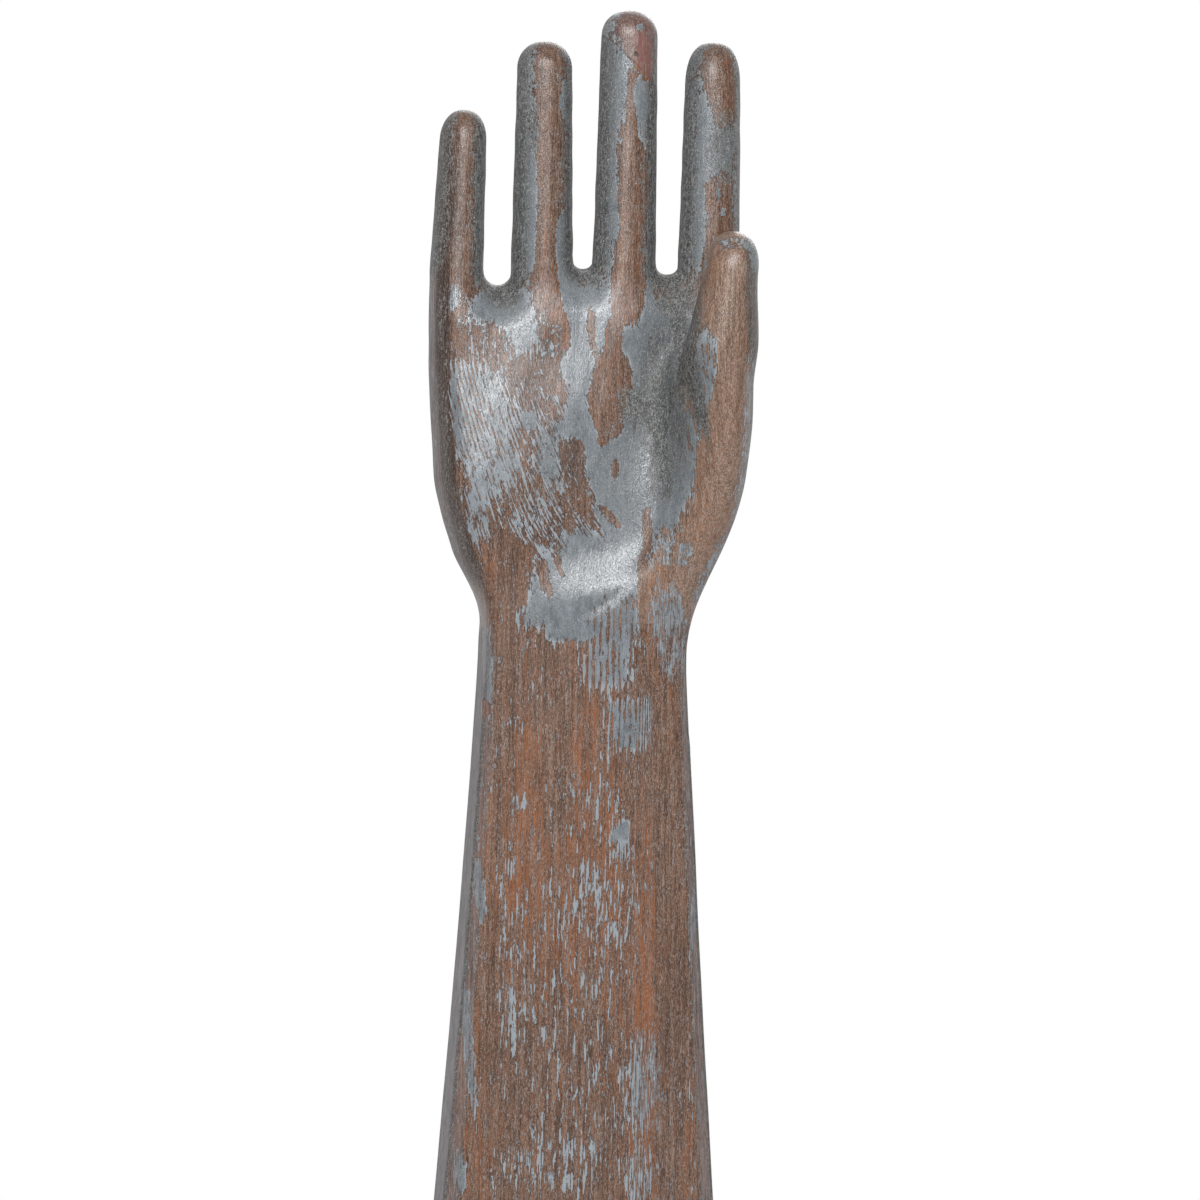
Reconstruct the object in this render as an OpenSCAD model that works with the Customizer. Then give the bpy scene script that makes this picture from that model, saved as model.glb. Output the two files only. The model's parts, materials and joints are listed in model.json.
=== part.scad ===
// Carved hardwood hand-and-forearm mold on which gloves are shaped and dried.
// Two full-length boards are glued back to back on the plane y = 0, a thumb block is glued to the palm,
// and the underside carries a steel plate and a socket for the peg of a drying rack.
// Millimetres, z up along the arm, palm towards -y, thumb towards +x, underside at z = 0.

/* [Forearm] */
// Height of the wrist above the underside
forearm_len = 303; // [240:1:360]
// Width of the forearm at its foot
base_w = 107; // [90:1:120]
// Thickness of the forearm at its foot, both boards together
base_t = 46; // [38:1:60]
// Width of the wrist
wrist_w = 65; // [58:1:76]
// Thickness of the wrist, both boards together
wrist_t = 33; // [28:0.5:35]
// Width of the planed chamfer at the foot
base_chamfer = 6.2; // [3:0.1:9]
// Width of the planed chamfer at the wrist
wrist_chamfer = 2.8; // [1.5:0.1:5]

/* [Palm] */
// Height from the wrist to the knuckle line, where the fingers part
palm_len = 120; // [105:1:140]
// Sideways shift of the knuckles towards the little finger
knuckle_shift = 1.4; // [0:0.1:4]
// Height over which the little finger's side widens from the wrist to the palm
flare_little = 55.5; // [45:0.5:80]
// Height over which the thumb's side widens from the wrist to the palm
flare_thumb = 56; // [45:1:80]
// Bulge of the thumb's side of the palm beyond the index finger
thumb_side_bulge = 2.4; // [0:0.1:3]
// Depth of the palm side in front of the glue plane
palm_front = 13.8; // [12:0.1:16]
// Depth of the back of the hand behind the glue plane
palm_back = 14.5; // [11:0.1:18]
// Depth of the hollow in the palm
hollow_depth = 6; // [2:0.1:7]
// Height of the heel of the palm above the palm side
heel_bulge = 2.2; // [1:0.1:3]
// Rounding of the little finger's edge of the palm
palm_round = 10; // [8:0.5:16]
// Rounding of both edges of the back of the hand
back_round = 16; // [9:0.5:20]

/* [Fingers] */
// Width of the little finger at its root
little_w = 17.1; // [14:0.1:20]
// Width of the ring finger at its root
ring_w = 19.9; // [16:0.1:22]
// Width of the middle finger at its root
middle_w = 20.4; // [17:0.1:23]
// Width of the index finger at its root
index_w = 19.9; // [16:0.1:22]
// Length of the little finger above the knuckle line
little_len = 51.9; // [45:0.1:65]
// Length of the ring finger above the knuckle line
ring_len = 74.4; // [62:0.1:85]
// Length of the middle finger above the knuckle line
middle_len = 85; // [72:1:98]
// Length of the index finger above the knuckle line
index_len = 75.4; // [62:0.1:88]
// Slot between the little finger and the ring finger
slot_little = 8.9; // [6:0.1:11]
// Slot between the ring finger and the middle finger
slot_ring = 6.3; // [5.6:0.1:10]
// Slot between the middle finger and the index finger
slot_index = 7.1; // [6:0.1:11]
// Narrowing of each finger from its root to its tip
finger_taper = 2.6; // [1:0.1:4]
// Depth of a finger's root in front of or behind the glue plane
finger_depth = 10; // [8:0.1:11]
// Depth of a fingertip before its dome, in front of or behind the glue plane
tip_depth = 8.2; // [7:0.1:10]
// Rounding of the web under each slot
web_round = 17; // [10:0.5:20]

/* [Thumb] */
// Depth of the thumb's glue seat in front of the plane between the boards
seat_depth = 18; // [17.6:0.1:22]
// Height of the crotch of the thumb above the wrist
crotch_h = 84; // [76:1:92]
// Height of the thumb's tip above the wrist
thumb_top = 133.6; // [122:0.1:145]
// Width of the thumb where it stands free
thumb_w = 22.6; // [18:0.1:24]
// Thickness of the thumb where it stands free
thumb_t = 20.6; // [17:0.1:24]
// Distance of the thumb's left edge at the crotch from the arm's centre line
thumb_left = 28.6; // [26:0.1:31]
// Distance of the thumb block's lower corner from the arm's centre line
thenar_left = 2; // [-4:0.5:12]
// Height of the thumb block's lower edge above the wrist
thenar_low = 9; // [6:0.5:16]
// Lean of the thumb's tip towards the outer edge
thumb_lean = 2.6; // [0:0.1:5]

/* [Pins] */
// Diameter of the blind dowels between the two boards
board_dowel_d = 8; // [6:0.5:9]
// Length of the blind dowels between the two boards
board_dowel_len = 18; // [12:1:20]
// Diameter of the dowels in the thumb block
thumb_dowel_d = 8; // [6:0.5:9]
// Length of the dowels in the thumb block
thumb_dowel_len = 16; // [12:1:18]
// Diameter of the plug let into the arris at the wrist
plug_d = 6; // [5:0.5:8]
// Depth of the plug at the wrist
plug_len = 22; // [12:1:26]
// Diameter of the brad in the mended fingertip
brad_d = 1.3; // [1:0.1:2]
// Length of the brad in the mended fingertip
brad_len = 13; // [9:0.5:14]
// Gap all round a dowel or pin in its hole
pin_gap = 0.05; // [0.03:0.01:0.15]

/* [Foot] */
// Thickness of the steel foot plate
plate_t = 3; // [2:0.5:5]
// Inset of the foot plate from the edge of the wood
plate_inset = 3; // [1:0.5:8]
// Inside diameter of the peg socket
socket_d = 19.2; // [14:0.1:22]
// Wall of the peg socket
socket_wall = 1.6; // [1:0.1:3]
// Depth of the peg socket
socket_len = 60; // [40:1:90]
// Gap round the peg socket in the wood
socket_gap = 0.1; // [0.05:0.05:0.3]
// Shank diameter of the foot plate screws
screw_d = 4.2; // [3:0.1:5]
// Head diameter of the foot plate screws
screw_head_d = 8.2; // [7:0.1:9]
// Length of the foot plate screws
screw_len = 32; // [20:1:40]
// Distance of the screws from the middle along the width
screw_x = 35; // [24:1:38]
// Distance of the screws from the middle through the thickness
screw_y = 11; // [8:1:12]

/* [Hidden] */

wood_red = "#6e4a3a";
wood_light = "#7c5a45";
dowel_wood = "#b08a62";
steel = "#8d9093";

// Sampling of the carved surfaces
finger_cells = 10;
slot_cells = 6;
palm_rows = 21;
web_rows = 4;
finger_rows = 8;
tip_rows = 5;
forearm_rows = 5;
thumb_cells = 14;
thumb_rows = 24;
round_fn = 48;
eps = 0.01;
// Length by which a cut runs past the surface that it opens
through = 6;

// Heights of the knuckle line, the thumb and the webs
knuckle_z = forearm_len + palm_len;
crotch_z = forearm_len + crotch_h;
thumb_top_z = forearm_len + thumb_top;
web_drop = [3.8, -2, -0.8];
web_margin = 20;
low_z = knuckle_z - web_margin;

// Edges of the fingers at their roots, from the little finger to the index finger
slots = [slot_little, slot_ring, slot_index];
widths = [little_w, ring_w, middle_w, index_w];
knuckle_w = little_w + ring_w + middle_w + index_w + slot_little + slot_ring + slot_index;
edge_left = -knuckle_w / 2 - knuckle_shift;
root_left = [
    edge_left,
    edge_left + little_w + slot_little,
    edge_left + little_w + slot_little + ring_w + slot_ring,
    edge_left + knuckle_w - index_w
];
root_right = [for (i = [0:3]) root_left[i] + widths[i]];
edge_right = root_right[3];
lengths = [little_len, ring_len, middle_len, index_len];
tip_shift = [1.7, -0.2, 0.5, 0.4];
dome_len = [9.5, 9, 8.6, 15];
dome_power = [2.2, 2.2, 2.2, 2.7];

// Lower end of each slot: centre and radius of its round bottom
slot_x = [for (j = [0:2]) (root_right[j] + root_left[j + 1]) / 2];
slot_r = [for (j = [0:2]) slots[j] / 2];
slot_z = [for (j = [0:2]) knuckle_z - web_drop[j] + slots[j] / 2];
root_z_left = [slot_z[0], slot_z[0], slot_z[1], slot_z[2]];
root_z_right = [slot_z[0], slot_z[1], slot_z[2], slot_z[2]];

function clamp01(t) = max(0, min(1, t));
function ease(a, b, x) = let (t = clamp01((x - a) / (b - a))) t * t * (3 - 2 * t);
function mix(a, b, t) = a + (b - a) * t;
function hill(dx, dz, size) = exp(-pow(dx / size[0], 2) - pow(dz / size[1], 2));
function domed(t, power) = pow(max(0, 1 - pow(clamp01(t), power)), 1 / power);
function sum(v, i = 0) = i < len(v) ? v[i] + sum(v, i + 1) : 0;

// Outline of the arm and palm on the glue plane
forearm_curve = 1.2;
function arm_share(z) = pow(clamp01((forearm_len - z) / forearm_len), forearm_curve);
late_flare = 0.19;
late_start = 30;
bulge_start = 0.8;
bulge_full = 8;
function arm_half_w(z) = wrist_w / 2 + (base_w - wrist_w) / 2 * arm_share(z);
function little_flare(z) =
    mix(ease(forearm_len, forearm_len + flare_little, z),
        ease(forearm_len + late_start, low_z, z), late_flare);
function thumb_bulge(z) =
    thumb_side_bulge * ease(forearm_len + flare_thumb * bulge_start, crotch_z - bulge_full, z)
        * (1 - ease(crotch_z, knuckle_z, z));
function left_x(z) = z < forearm_len ? -arm_half_w(z) : mix(-wrist_w / 2, edge_left, little_flare(z));
function right_x(z) =
    z < forearm_len ? arm_half_w(z)
    : mix(wrist_w / 2, edge_right, ease(forearm_len, forearm_len + flare_thumb, z)) + thumb_bulge(z);

// Half thickness and chamfer of the straight forearm
function arm_half_t(z) = mix(wrist_t / 2, base_t / 2, arm_share(z));
function arm_chamfer(z) = mix(wrist_chamfer, base_chamfer, arm_share(z));

// A finger's middle, half width and depth at height z; its dome closes it at the top
function finger_top(i) = knuckle_z + lengths[i];
function dome_start(i) = finger_top(i) - dome_len[i];
function along(i, z) = clamp01((z - knuckle_z) / lengths[i]);
function dome(i, z) = domed((z - dome_start(i)) / dome_len[i], dome_power[i]);
function root_mid(i) = (root_left[i] + root_right[i]) / 2;
function finger_mid(i, z) = root_mid(i) + tip_shift[i] * along(i, z);
function finger_half(i, z) = (widths[i] - finger_taper * along(i, z)) / 2 * dome(i, z);
function finger_deep(i, z) = mix(finger_depth, tip_depth, along(i, z)) * dome(i, z);

// Rounding of the carved faces towards the slots and the outer edges: 0 on an edge, 1 past the rounding
function edge_term(d, r) = let (t = max(0, 1 - d / r)) t * t;
function slot_term(j, x, z) =
    let (
        dx = x - slot_x[j],
        dz = max(0, slot_z[j] - z),
        far = max(eps, sqrt(dx * dx + dz * dz)),
        side = (x < slot_x[j] ? widths[j] : widths[j + 1]) / 2,
        under = dz / far
    )
    edge_term(far - slot_r[j], mix(side, web_round, under * under));
function rounding(x, z, round_l, round_r) =
    sqrt(max(0, 1 - edge_term(x - left_x(z), round_l) - edge_term(right_x(z) - x, round_r)
        - slot_term(0, x, z) - slot_term(1, x, z) - slot_term(2, x, z)));

// Left edge of the thumb block on its seat: down from the crotch and out across the heel of the palm
seat_low_z = forearm_len + thenar_low;
seat_power = 2.6;
function seat_left(z) =
    let (t = clamp01((z - seat_low_z) / (crotch_z - seat_low_z)))
    mix(thenar_left, thumb_left, 1 - pow(1 - t, seat_power));
// Share of the palm side that rises to the thumb's seat
seat_fade = 15;
seat_ramp = 12;
seat_slope_low = 11;
seat_slope_high = 4;
seat_slope_from = 18;
seat_slope_to = 58;
function seat_slope(z) =
    mix(seat_slope_low, seat_slope_high, ease(seat_slope_from, seat_slope_to, z - forearm_len));
function seat_share(x, z) =
    exp(-max(0, seat_left(z) - x) / seat_slope(z))
        * ease(seat_low_z - seat_ramp, seat_low_z, z) * (1 - ease(crotch_z, crotch_z + seat_fade, z));

// Relief of both faces: places across and above the wrist, heights, and sizes across and along
relief_start = 12;
hollow_x = 19;
hollow_up = 62;
hollow_slant = 0.25;
hollow_size = [15, 33];
heel_x = -8;
heel_up = 15;
heel_size = [24, 12];
mound_in = 14;
mound_up = 46;
mound_rise = 1.5;
mound_size = [11, 26];
pad_rise = 0.8;
pad_down = 16;
pad_size = [8, 9];
valley_drop = 1.4;
valley_down = 22;
valley_size = [4.5, 13];
crown_x = 2;
crown_up = 62;
crown_rise = 1.5;
crown_size = [30, 30];
knuckle_rise = 0.7;

// Finger pads or knuckles at the root of each finger, and a valley under each slot
function finger_relief(x, up, rise) =
    let (
        pads = [for (i = [0:3]) hill(x - root_mid(i), up - palm_len + pad_down, pad_size)],
        valleys = [for (j = [0:2]) hill(x - slot_x[j], up - palm_len + valley_down, valley_size)]
    )
    rise * sum(pads) - valley_drop * sum(valleys);

// Depth of the palm side in front of the glue plane: level, hollow, heel, outer mound and finger relief
palm_rise_len = 42;
palm_fall_len = 38;
function palm_relief(x, up) =
    heel_bulge * hill(x - heel_x, up - heel_up, heel_size)
        - hollow_depth * hill(x - hollow_x - hollow_slant * (up - hollow_up), up - hollow_up, hollow_size)
        + mound_rise * hill(x - edge_left - mound_in, up - mound_up, mound_size);
function palm_level(up) =
    mix(mix(wrist_t / 2, palm_front, ease(0, palm_rise_len, up)), finger_depth,
        ease(palm_len - palm_fall_len, palm_len, up));
function palm_floor(x, z) =
    let (up = z - forearm_len)
    palm_level(up) + ease(0, relief_start, up) * (palm_relief(x, up) + finger_relief(x, up, pad_rise));
function palm_depth(x, z) = min(seat_depth, mix(palm_floor(x, z), seat_depth, seat_share(x, z)));

// Depth of the back of the hand behind the glue plane: level, crown and finger relief
back_rise_len = 40;
back_fall_len = 45;
function back_level(up) =
    mix(mix(wrist_t / 2, palm_back, ease(0, back_rise_len, up)), finger_depth,
        ease(palm_len - back_fall_len, palm_len, up));
function back_relief(x, up) =
    crown_rise * hill(x - crown_x, up - crown_up, crown_size) + finger_relief(x, up, knuckle_rise);
function back_depth(x, z) =
    let (up = z - forearm_len)
    back_level(up) + ease(0, relief_start, up) * back_relief(x, up);

// Width of the rounding of each edge at height z, on the palm side and on the back
side_round = 0.6;
round_fade = 20;
function palm_round_l(z) = mix(palm_round, little_w / 2, ease(low_z - round_fade, slot_z[0], z));
function palm_round_r(z) = mix(side_round, index_w / 2, ease(crotch_z, slot_z[2], z));
function back_round_l(z) = mix(back_round, little_w / 2, ease(low_z - round_fade, slot_z[0], z));
function back_round_r(z) = mix(back_round, index_w / 2, ease(low_z - round_fade, slot_z[2], z));

// Points of a board: side is -1 for the palm board and 1 for the back board
function board_depth(side, x, z) =
    z <= forearm_len ? arm_half_t(z)
    : side < 0 ? palm_depth(x, z) : back_depth(x, z);
function board_rounding(side, x, z) =
    side < 0 ? rounding(x, z, palm_round_l(z), palm_round_r(z))
    : rounding(x, z, back_round_l(z), back_round_r(z));
function carved(side, x, z) = [x, side * board_depth(side, x, z) * board_rounding(side, x, z), z];

// Places of the columns across the knuckles, as shares of the width
cells = 4 * finger_cells + 3 * slot_cells;
function swing(k, n) = (1 - cos(180 * k / n)) / 2;
group = finger_cells + slot_cells;
function column_finger(k) = min(3, floor(k / group));
function column_in_finger(k) = k - column_finger(k) * group <= finger_cells;
function column_x(k) =
    let (i = column_finger(k), n = k - i * group)
    column_in_finger(k) ? mix(root_left[i], root_right[i], swing(n, finger_cells))
    : mix(root_right[i], root_left[i + 1], swing(n - finger_cells, slot_cells));
function column_share(k) = (column_x(k) - edge_left) / knuckle_w;
// Top of each column where the fingers part: straight across a finger, round under a slot
function column_top(k) =
    let (i = column_finger(k), n = k - i * group, t = swing(n, finger_cells))
    column_in_finger(k) ? mix(root_z_left[i], root_z_right[i], t)
    : let (
        d = (column_x(k) - slot_x[i]) / slot_r[i],
        level = mix(root_z_right[i], root_z_left[i + 1], (d + 1) / 2)
    ) level - slot_r[i] * sqrt(max(0, 1 - d * d));
slot_middle = slot_cells / 2;

// Planed section: side, chamfer and face, as on the forearm
function arm_point(side, k, z) =
    let (
        l = left_x(z),
        r = right_x(z),
        c = arm_chamfer(z),
        x = mix(l + c, r - c, clamp01((k - 2) / (cells - 4)))
    )
    k == 0 ? [l, 0, z] : k == 1 ? [l, side * (board_depth(side, x, z) - c), z]
    : k == cells - 1 ? [r, side * (board_depth(side, x, z) - c), z] : k == cells ? [r, 0, z]
    : [x, side * board_depth(side, x, z), z];
// The planed section gives way to the carved one above the wrist, and sooner under the thumb block
wrist_blend = 32;
thumb_blend = 24;
thumb_blend_past = 4;
function carved_share(side, k, z) =
    let (
        l = ease(forearm_len, forearm_len + wrist_blend, z),
        r = side < 0 ? ease(forearm_len - thumb_blend, forearm_len + thumb_blend_past, z) : l
    )
    mix(l, r, ease(0.5, 1, k / cells));
function board_point(side, k, z) =
    let (
        t = carved_share(side, k, z),
        x = mix(left_x(z), right_x(z), column_share(k))
    )
    k == 0 ? [left_x(z), 0, z] : k == cells ? [right_x(z), 0, z]
    : t <= 0 ? arm_point(side, k, z)
    : t >= 1 ? carved(side, x, z) : mix(arm_point(side, k, z), carved(side, x, z), t);

arm_top = forearm_len - thumb_blend;
arm_levels = [for (j = [0:forearm_rows - 1]) mix(plate_t, arm_top, j / (forearm_rows - 1))];
palm_levels = [for (j = [1:palm_rows]) mix(arm_top, low_z, j / palm_rows)];
levels = concat(arm_levels, palm_levels);
low_row = len(levels) - 1;
top_row = low_row + web_rows;

function low_x(k) = mix(left_x(low_z), right_x(low_z), column_share(k));
function on_slot(k) = !column_in_finger(k) || k % group == finger_cells || k % group == 0;
function web_point(side, k, s) =
    let (
        z = mix(low_z, column_top(k), s),
        x = mix(low_x(k), column_x(k), s)
    )
    k == 0 ? [left_x(z), 0, z]
    : k == cells ? [right_x(z), 0, z]
    : s >= 1 && on_slot(k) ? [x, 0, z] : carved(side, x, z);

function finger_point(side, i, r, k) =
    let (
        turn = 180 * k / finger_cells,
        z0 = mix(root_z_left[i], root_z_right[i], swing(k, finger_cells)),
        z1 = dome_start(i),
        z = r <= finger_rows ? mix(z0, z1, r / finger_rows)
            : z1 + dome_len[i] * sin(90 * (r - finger_rows) / tip_rows)
    )
    [finger_mid(i, z) - finger_half(i, z) * cos(turn), side * finger_deep(i, z) * sin(turn), z];

row_len = cells + 1;
common = row_len * (top_row + 1);
finger_row_len = finger_cells + 1;
last_ring = finger_rows + tip_rows - 1;
finger_size = finger_row_len * last_ring + 1;
aux_first = common + 4 * finger_size;

function board_points(side) = concat(
    [for (z = levels) for (k = [0:cells]) board_point(side, k, z)],
    [for (s = [1:web_rows]) for (k = [0:cells]) web_point(side, k, s / web_rows)],
    [for (i = [0:3]) each concat(
        [for (r = [1:last_ring]) for (k = [0:finger_cells]) finger_point(side, i, r, k)],
        [[finger_mid(i, finger_top(i)), 0, finger_top(i)]]
    )],
    [for (j = [0:2]) each [
        [low_x(j * group + finger_cells), 0, low_z],
        [low_x((j + 1) * group), 0, low_z]
    ]]
);

function at(j, k) = j * row_len + k;
function in_finger(i, r, k) =
    r == 0 ? at(top_row, i * group + k) : common + i * finger_size + (r - 1) * finger_row_len + k;
function finger_pole(i) = common + i * finger_size + finger_row_len * last_ring;
function aux(m) = m == 0 ? at(low_row, 0) : m == 7 ? at(low_row, cells) : aux_first + m - 1;
function quad(a, b, c, d) = [[a, b, c], [a, c, d]];

function skin_faces() = concat(
    [for (j = [0:top_row - 1]) for (k = [0:cells - 1])
        each quad(at(j, k), at(j, k + 1), at(j + 1, k + 1), at(j + 1, k))],
    [for (i = [0:3]) for (r = [0:last_ring - 1]) for (k = [0:finger_cells - 1])
        each quad(
            in_finger(i, r, k), in_finger(i, r, k + 1),
            in_finger(i, r + 1, k + 1), in_finger(i, r + 1, k))],
    [for (i = [0:3]) for (k = [0:finger_cells - 1])
        [in_finger(i, last_ring, k), in_finger(i, last_ring, k + 1), finger_pole(i)]]
);
function foot_faces() = [for (k = [1:cells - 1]) [at(0, 0), at(0, k + 1), at(0, k)]];
// Glue face on the plane y = 0: the arm, the palm up to the roots, and one half section of each finger
function slot_at(j, n) = at(top_row, j * group + finger_cells + n);
function glue_faces() = concat(
    [for (j = [0:low_row - 2]) each quad(at(j, 0), at(j + 1, 0), at(j + 1, cells), at(j, cells))],
    [for (m = [0:6]) [at(low_row - 1, 0), aux(m), aux(m + 1)]],
    [[at(low_row - 1, 0), at(low_row, cells), at(low_row - 1, cells)]],
    [for (j = [low_row:top_row - 1]) [aux(1), at(j, 0), at(j + 1, 0)]],
    [[aux(1), at(top_row, 0), at(top_row, finger_cells)]],
    [for (j = [low_row:top_row - 1]) [aux(6), at(j + 1, cells), at(j, cells)]],
    [[aux(6), at(top_row, 3 * group), at(top_row, cells)]],
    [for (i = [1:2]) each quad(
        aux(2 * i), at(top_row, i * group), at(top_row, i * group + finger_cells), aux(2 * i + 1))],
    [for (j = [0:2]) each concat(
        [for (n = [0:slot_middle - 1]) [aux(2 * j + 1), slot_at(j, n), slot_at(j, n + 1)]],
        [[aux(2 * j + 1), slot_at(j, slot_middle), aux(2 * j + 2)]],
        [for (n = [slot_middle:slot_cells - 1]) [aux(2 * j + 2), slot_at(j, n), slot_at(j, n + 1)]]
    )],
    [for (i = [0:3]) for (r = [0:last_ring - 1])
        each quad(
            in_finger(i, r, 0), in_finger(i, r + 1, 0),
            in_finger(i, r + 1, finger_cells), in_finger(i, r, finger_cells))],
    [for (i = [0:3]) [in_finger(i, last_ring, 0), finger_pole(i), in_finger(i, last_ring, finger_cells)]]
);
function flip(faces) = [for (f = faces) [f[0], f[2], f[1]]];

module board_blank(side) {
    faces = concat(skin_faces(), foot_faces(), glue_faces());
    polyhedron(points = board_points(side), faces = side < 0 ? flip(faces) : faces, convexity = 10);
}

// The thumb block: rings from the foot of its seat to the tip,
// flat on the seat and round where it stands free
thumb_dome = 12.6;
thumb_dome_power = 2.2;
thumb_foot = 0.7;
crest_start = 4;
thumb_back_share = 0.44;
free_rise = 14;
thumb_narrowing = 3.4;
crest_glued = 0.62;
crest_reach = 6;
thumb_mid_low = (thumb_left + right_x(crotch_z)) / 2;
function thumb_dome_at(z) = domed((z - thumb_top_z + thumb_dome) / thumb_dome, thumb_dome_power);
function thumb_free(z) = clamp01((z - crotch_z) / free_rise);
function thumb_mid(z) =
    thumb_mid_low + thumb_lean * pow(clamp01((z - crotch_z) / (thumb_top_z - crotch_z)), 2);
function thumb_half(z) =
    mix((right_x(crotch_z) - thumb_left) / 2, thumb_w / 2, ease(crotch_z, crotch_z + free_rise, z))
        - thumb_narrowing / 2 * ease(crotch_z + free_rise, thumb_top_z - thumb_dome, z);
function thumb_l(z) = z <= crotch_z ? seat_left(z) : thumb_mid(z) - thumb_half(z) * thumb_dome_at(z);
function thumb_r(z) = z <= crotch_z ? right_x(z) : thumb_mid(z) + thumb_half(z) * thumb_dome_at(z);
function thumb_back(z) = let (t = 1 - thumb_free(z)) thumb_t * thumb_back_share * sqrt(max(0, 1 - t * t));
function thumb_crest(z) =
    mix(thumb_foot, thumb_t, ease(seat_low_z - crest_start, crotch_z + crest_reach, z));
function thumb_profile(t, z) =
    let (
        crest = mix(crest_glued, 0.5, thumb_free(z)),
        glued = t < crest ? sin(90 * t / crest) : sqrt(max(0, 1 - pow((t - crest) / (1 - crest), 2))),
        free = sqrt(max(0, 1 - pow(2 * t - 1, 2)))
    )
    mix(glued, free, thumb_free(z));
// A ring runs across the front from left to right and back again across the rear
function thumb_point(z, n) =
    let (
        front = n <= thumb_cells,
        t = swing(front ? n : 2 * thumb_cells - n, thumb_cells),
        split = thumb_back(z),
        centre = seat_depth + thumb_back(z),
        shape = thumb_dome_at(z),
        rear = sqrt(max(0, 1 - pow(2 * t - 1, 2))),
        depth = front ? centre + (thumb_crest(z) - split) * thumb_profile(t, z) * shape
            : centre - split * rear * shape
    )
    [mix(thumb_l(z), thumb_r(z), t), -depth, z];
thumb_tip_rows = 6;
function thumb_level(j) =
    j <= thumb_rows ? mix(seat_low_z, thumb_top_z - thumb_dome, j / thumb_rows)
    : thumb_top_z - thumb_dome + thumb_dome * sin(90 * (j - thumb_rows) / thumb_tip_rows);
thumb_rings = thumb_rows + thumb_tip_rows;
thumb_ring = 2 * thumb_cells;

module thumb_blank() {
    tip = [thumb_mid(thumb_top_z), -seat_depth - thumb_back(thumb_top_z), thumb_top_z];
    points = concat(
        [for (j = [0:thumb_rings - 1]) for (n = [0:thumb_ring - 1]) thumb_point(thumb_level(j), n)],
        [tip]
    );
    function ring(j, n) = j * thumb_ring + n % thumb_ring;
    pole = thumb_rings * thumb_ring;
    faces = concat(
        [for (j = [0:thumb_rings - 2]) for (n = [0:thumb_ring - 1])
            each quad(ring(j, n), ring(j + 1, n), ring(j + 1, n + 1), ring(j, n + 1))],
        [for (n = [0:thumb_ring - 1]) [ring(thumb_rings - 1, n), pole, ring(thumb_rings - 1, n + 1)]],
        [for (n = [1:thumb_cells - 1]) [ring(0, n), ring(0, n + 1), ring(0, thumb_ring - n)]],
        [for (n = [1:thumb_cells - 1]) [ring(0, n), ring(0, thumb_ring - n), ring(0, thumb_ring - n + 1)]]
    );
    polyhedron(points = points, faces = faces, convexity = 6);
}

// The tip of the middle finger, cut off on a slant and glued back on
scarf_drop = 16.4;
scarf_angle = 43;
scarf_room = 40;
scarf_x = finger_mid(2, finger_top(2));
scarf_z = finger_top(2) - scarf_drop;
module scarf_cutter() {
    intersection() {
        translate([scarf_x, 0, scarf_z])
            rotate([0, scarf_angle, 0])
                translate([-scarf_room, -scarf_room / 2, 0])
                    cube([2 * scarf_room, scarf_room, scarf_room]);
        translate([root_left[2] - slot_ring / 2, -scarf_room / 2, scarf_z - scarf_room])
            cube([middle_w + (slot_ring + slot_index) / 2, scarf_room, 2 * scarf_room]);
    }
}
finger_ring = 2 * finger_cells;
module finger_blank(i, first_row) {
    rings = last_ring - first_row + 1;
    function ring(j, n) = j * finger_ring + n % finger_ring;
    points = concat(
        [for (r = [first_row:last_ring]) for (n = [0:finger_ring - 1])
            n <= finger_cells ? finger_point(-1, i, r, n) : finger_point(1, i, r, finger_ring - n)],
        [[finger_mid(i, finger_top(i)), 0, finger_top(i)]]
    );
    pole = rings * finger_ring;
    faces = concat(
        [for (j = [0:rings - 2]) for (n = [0:finger_cells - 1])
            each flip(quad(ring(j, n), ring(j, n + 1), ring(j + 1, n + 1), ring(j + 1, n)))],
        [for (j = [0:rings - 2]) for (n = [finger_cells:finger_ring - 1])
            each quad(ring(j, n + 1), ring(j, n), ring(j + 1, n), ring(j + 1, n + 1))],
        [for (n = [0:finger_ring - 1]) [ring(rings - 1, n), pole, ring(rings - 1, n + 1)]],
        [[for (n = [0:finger_ring - 1]) ring(0, n)]]
    );
    polyhedron(points = points, faces = faces, convexity = 4);
}

// The brad that holds the mended tip runs back and down through the slant
brad_in = 1.3;
brad_up = 1.9;
brad_sink = 0.25;
brad_turn = [0, 119, 114];
brad_start = [scarf_x + brad_in, -finger_deep(2, scarf_z + brad_up) + brad_sink, scarf_z + brad_up];
module brad(grow, proud) {
    translate(brad_start)
        rotate(brad_turn)
            translate([0, 0, -proud])
                cylinder(h = brad_len + proud + grow, d = brad_d + 2 * grow, $fn = round_fn);
}

// Blind dowels across the glue plane, as [x, z]: two pairs in the forearm and two in the palm
low_pair = 0.32;
high_pair = 0.7;
heel_dowel = [2, 22];
palm_dowel = [25, 46];
board_dowel_places = [
    [-base_w / 4, low_pair * forearm_len],
    [base_w / 4, low_pair * forearm_len],
    [-wrist_w / 4, high_pair * forearm_len],
    [wrist_w / 4, high_pair * forearm_len],
    [heel_dowel[0], forearm_len + heel_dowel[1]],
    [edge_left + palm_dowel[0], forearm_len + palm_dowel[1]]
];
module board_dowel_set(grow, extra) {
    for (p = board_dowel_places)
        translate([p[0], board_dowel_len / 2 + extra, p[1]])
            rotate([90, 0, 0])
                cylinder(h = board_dowel_len + 2 * extra, d = board_dowel_d + 2 * grow, $fn = round_fn);
}
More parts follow.
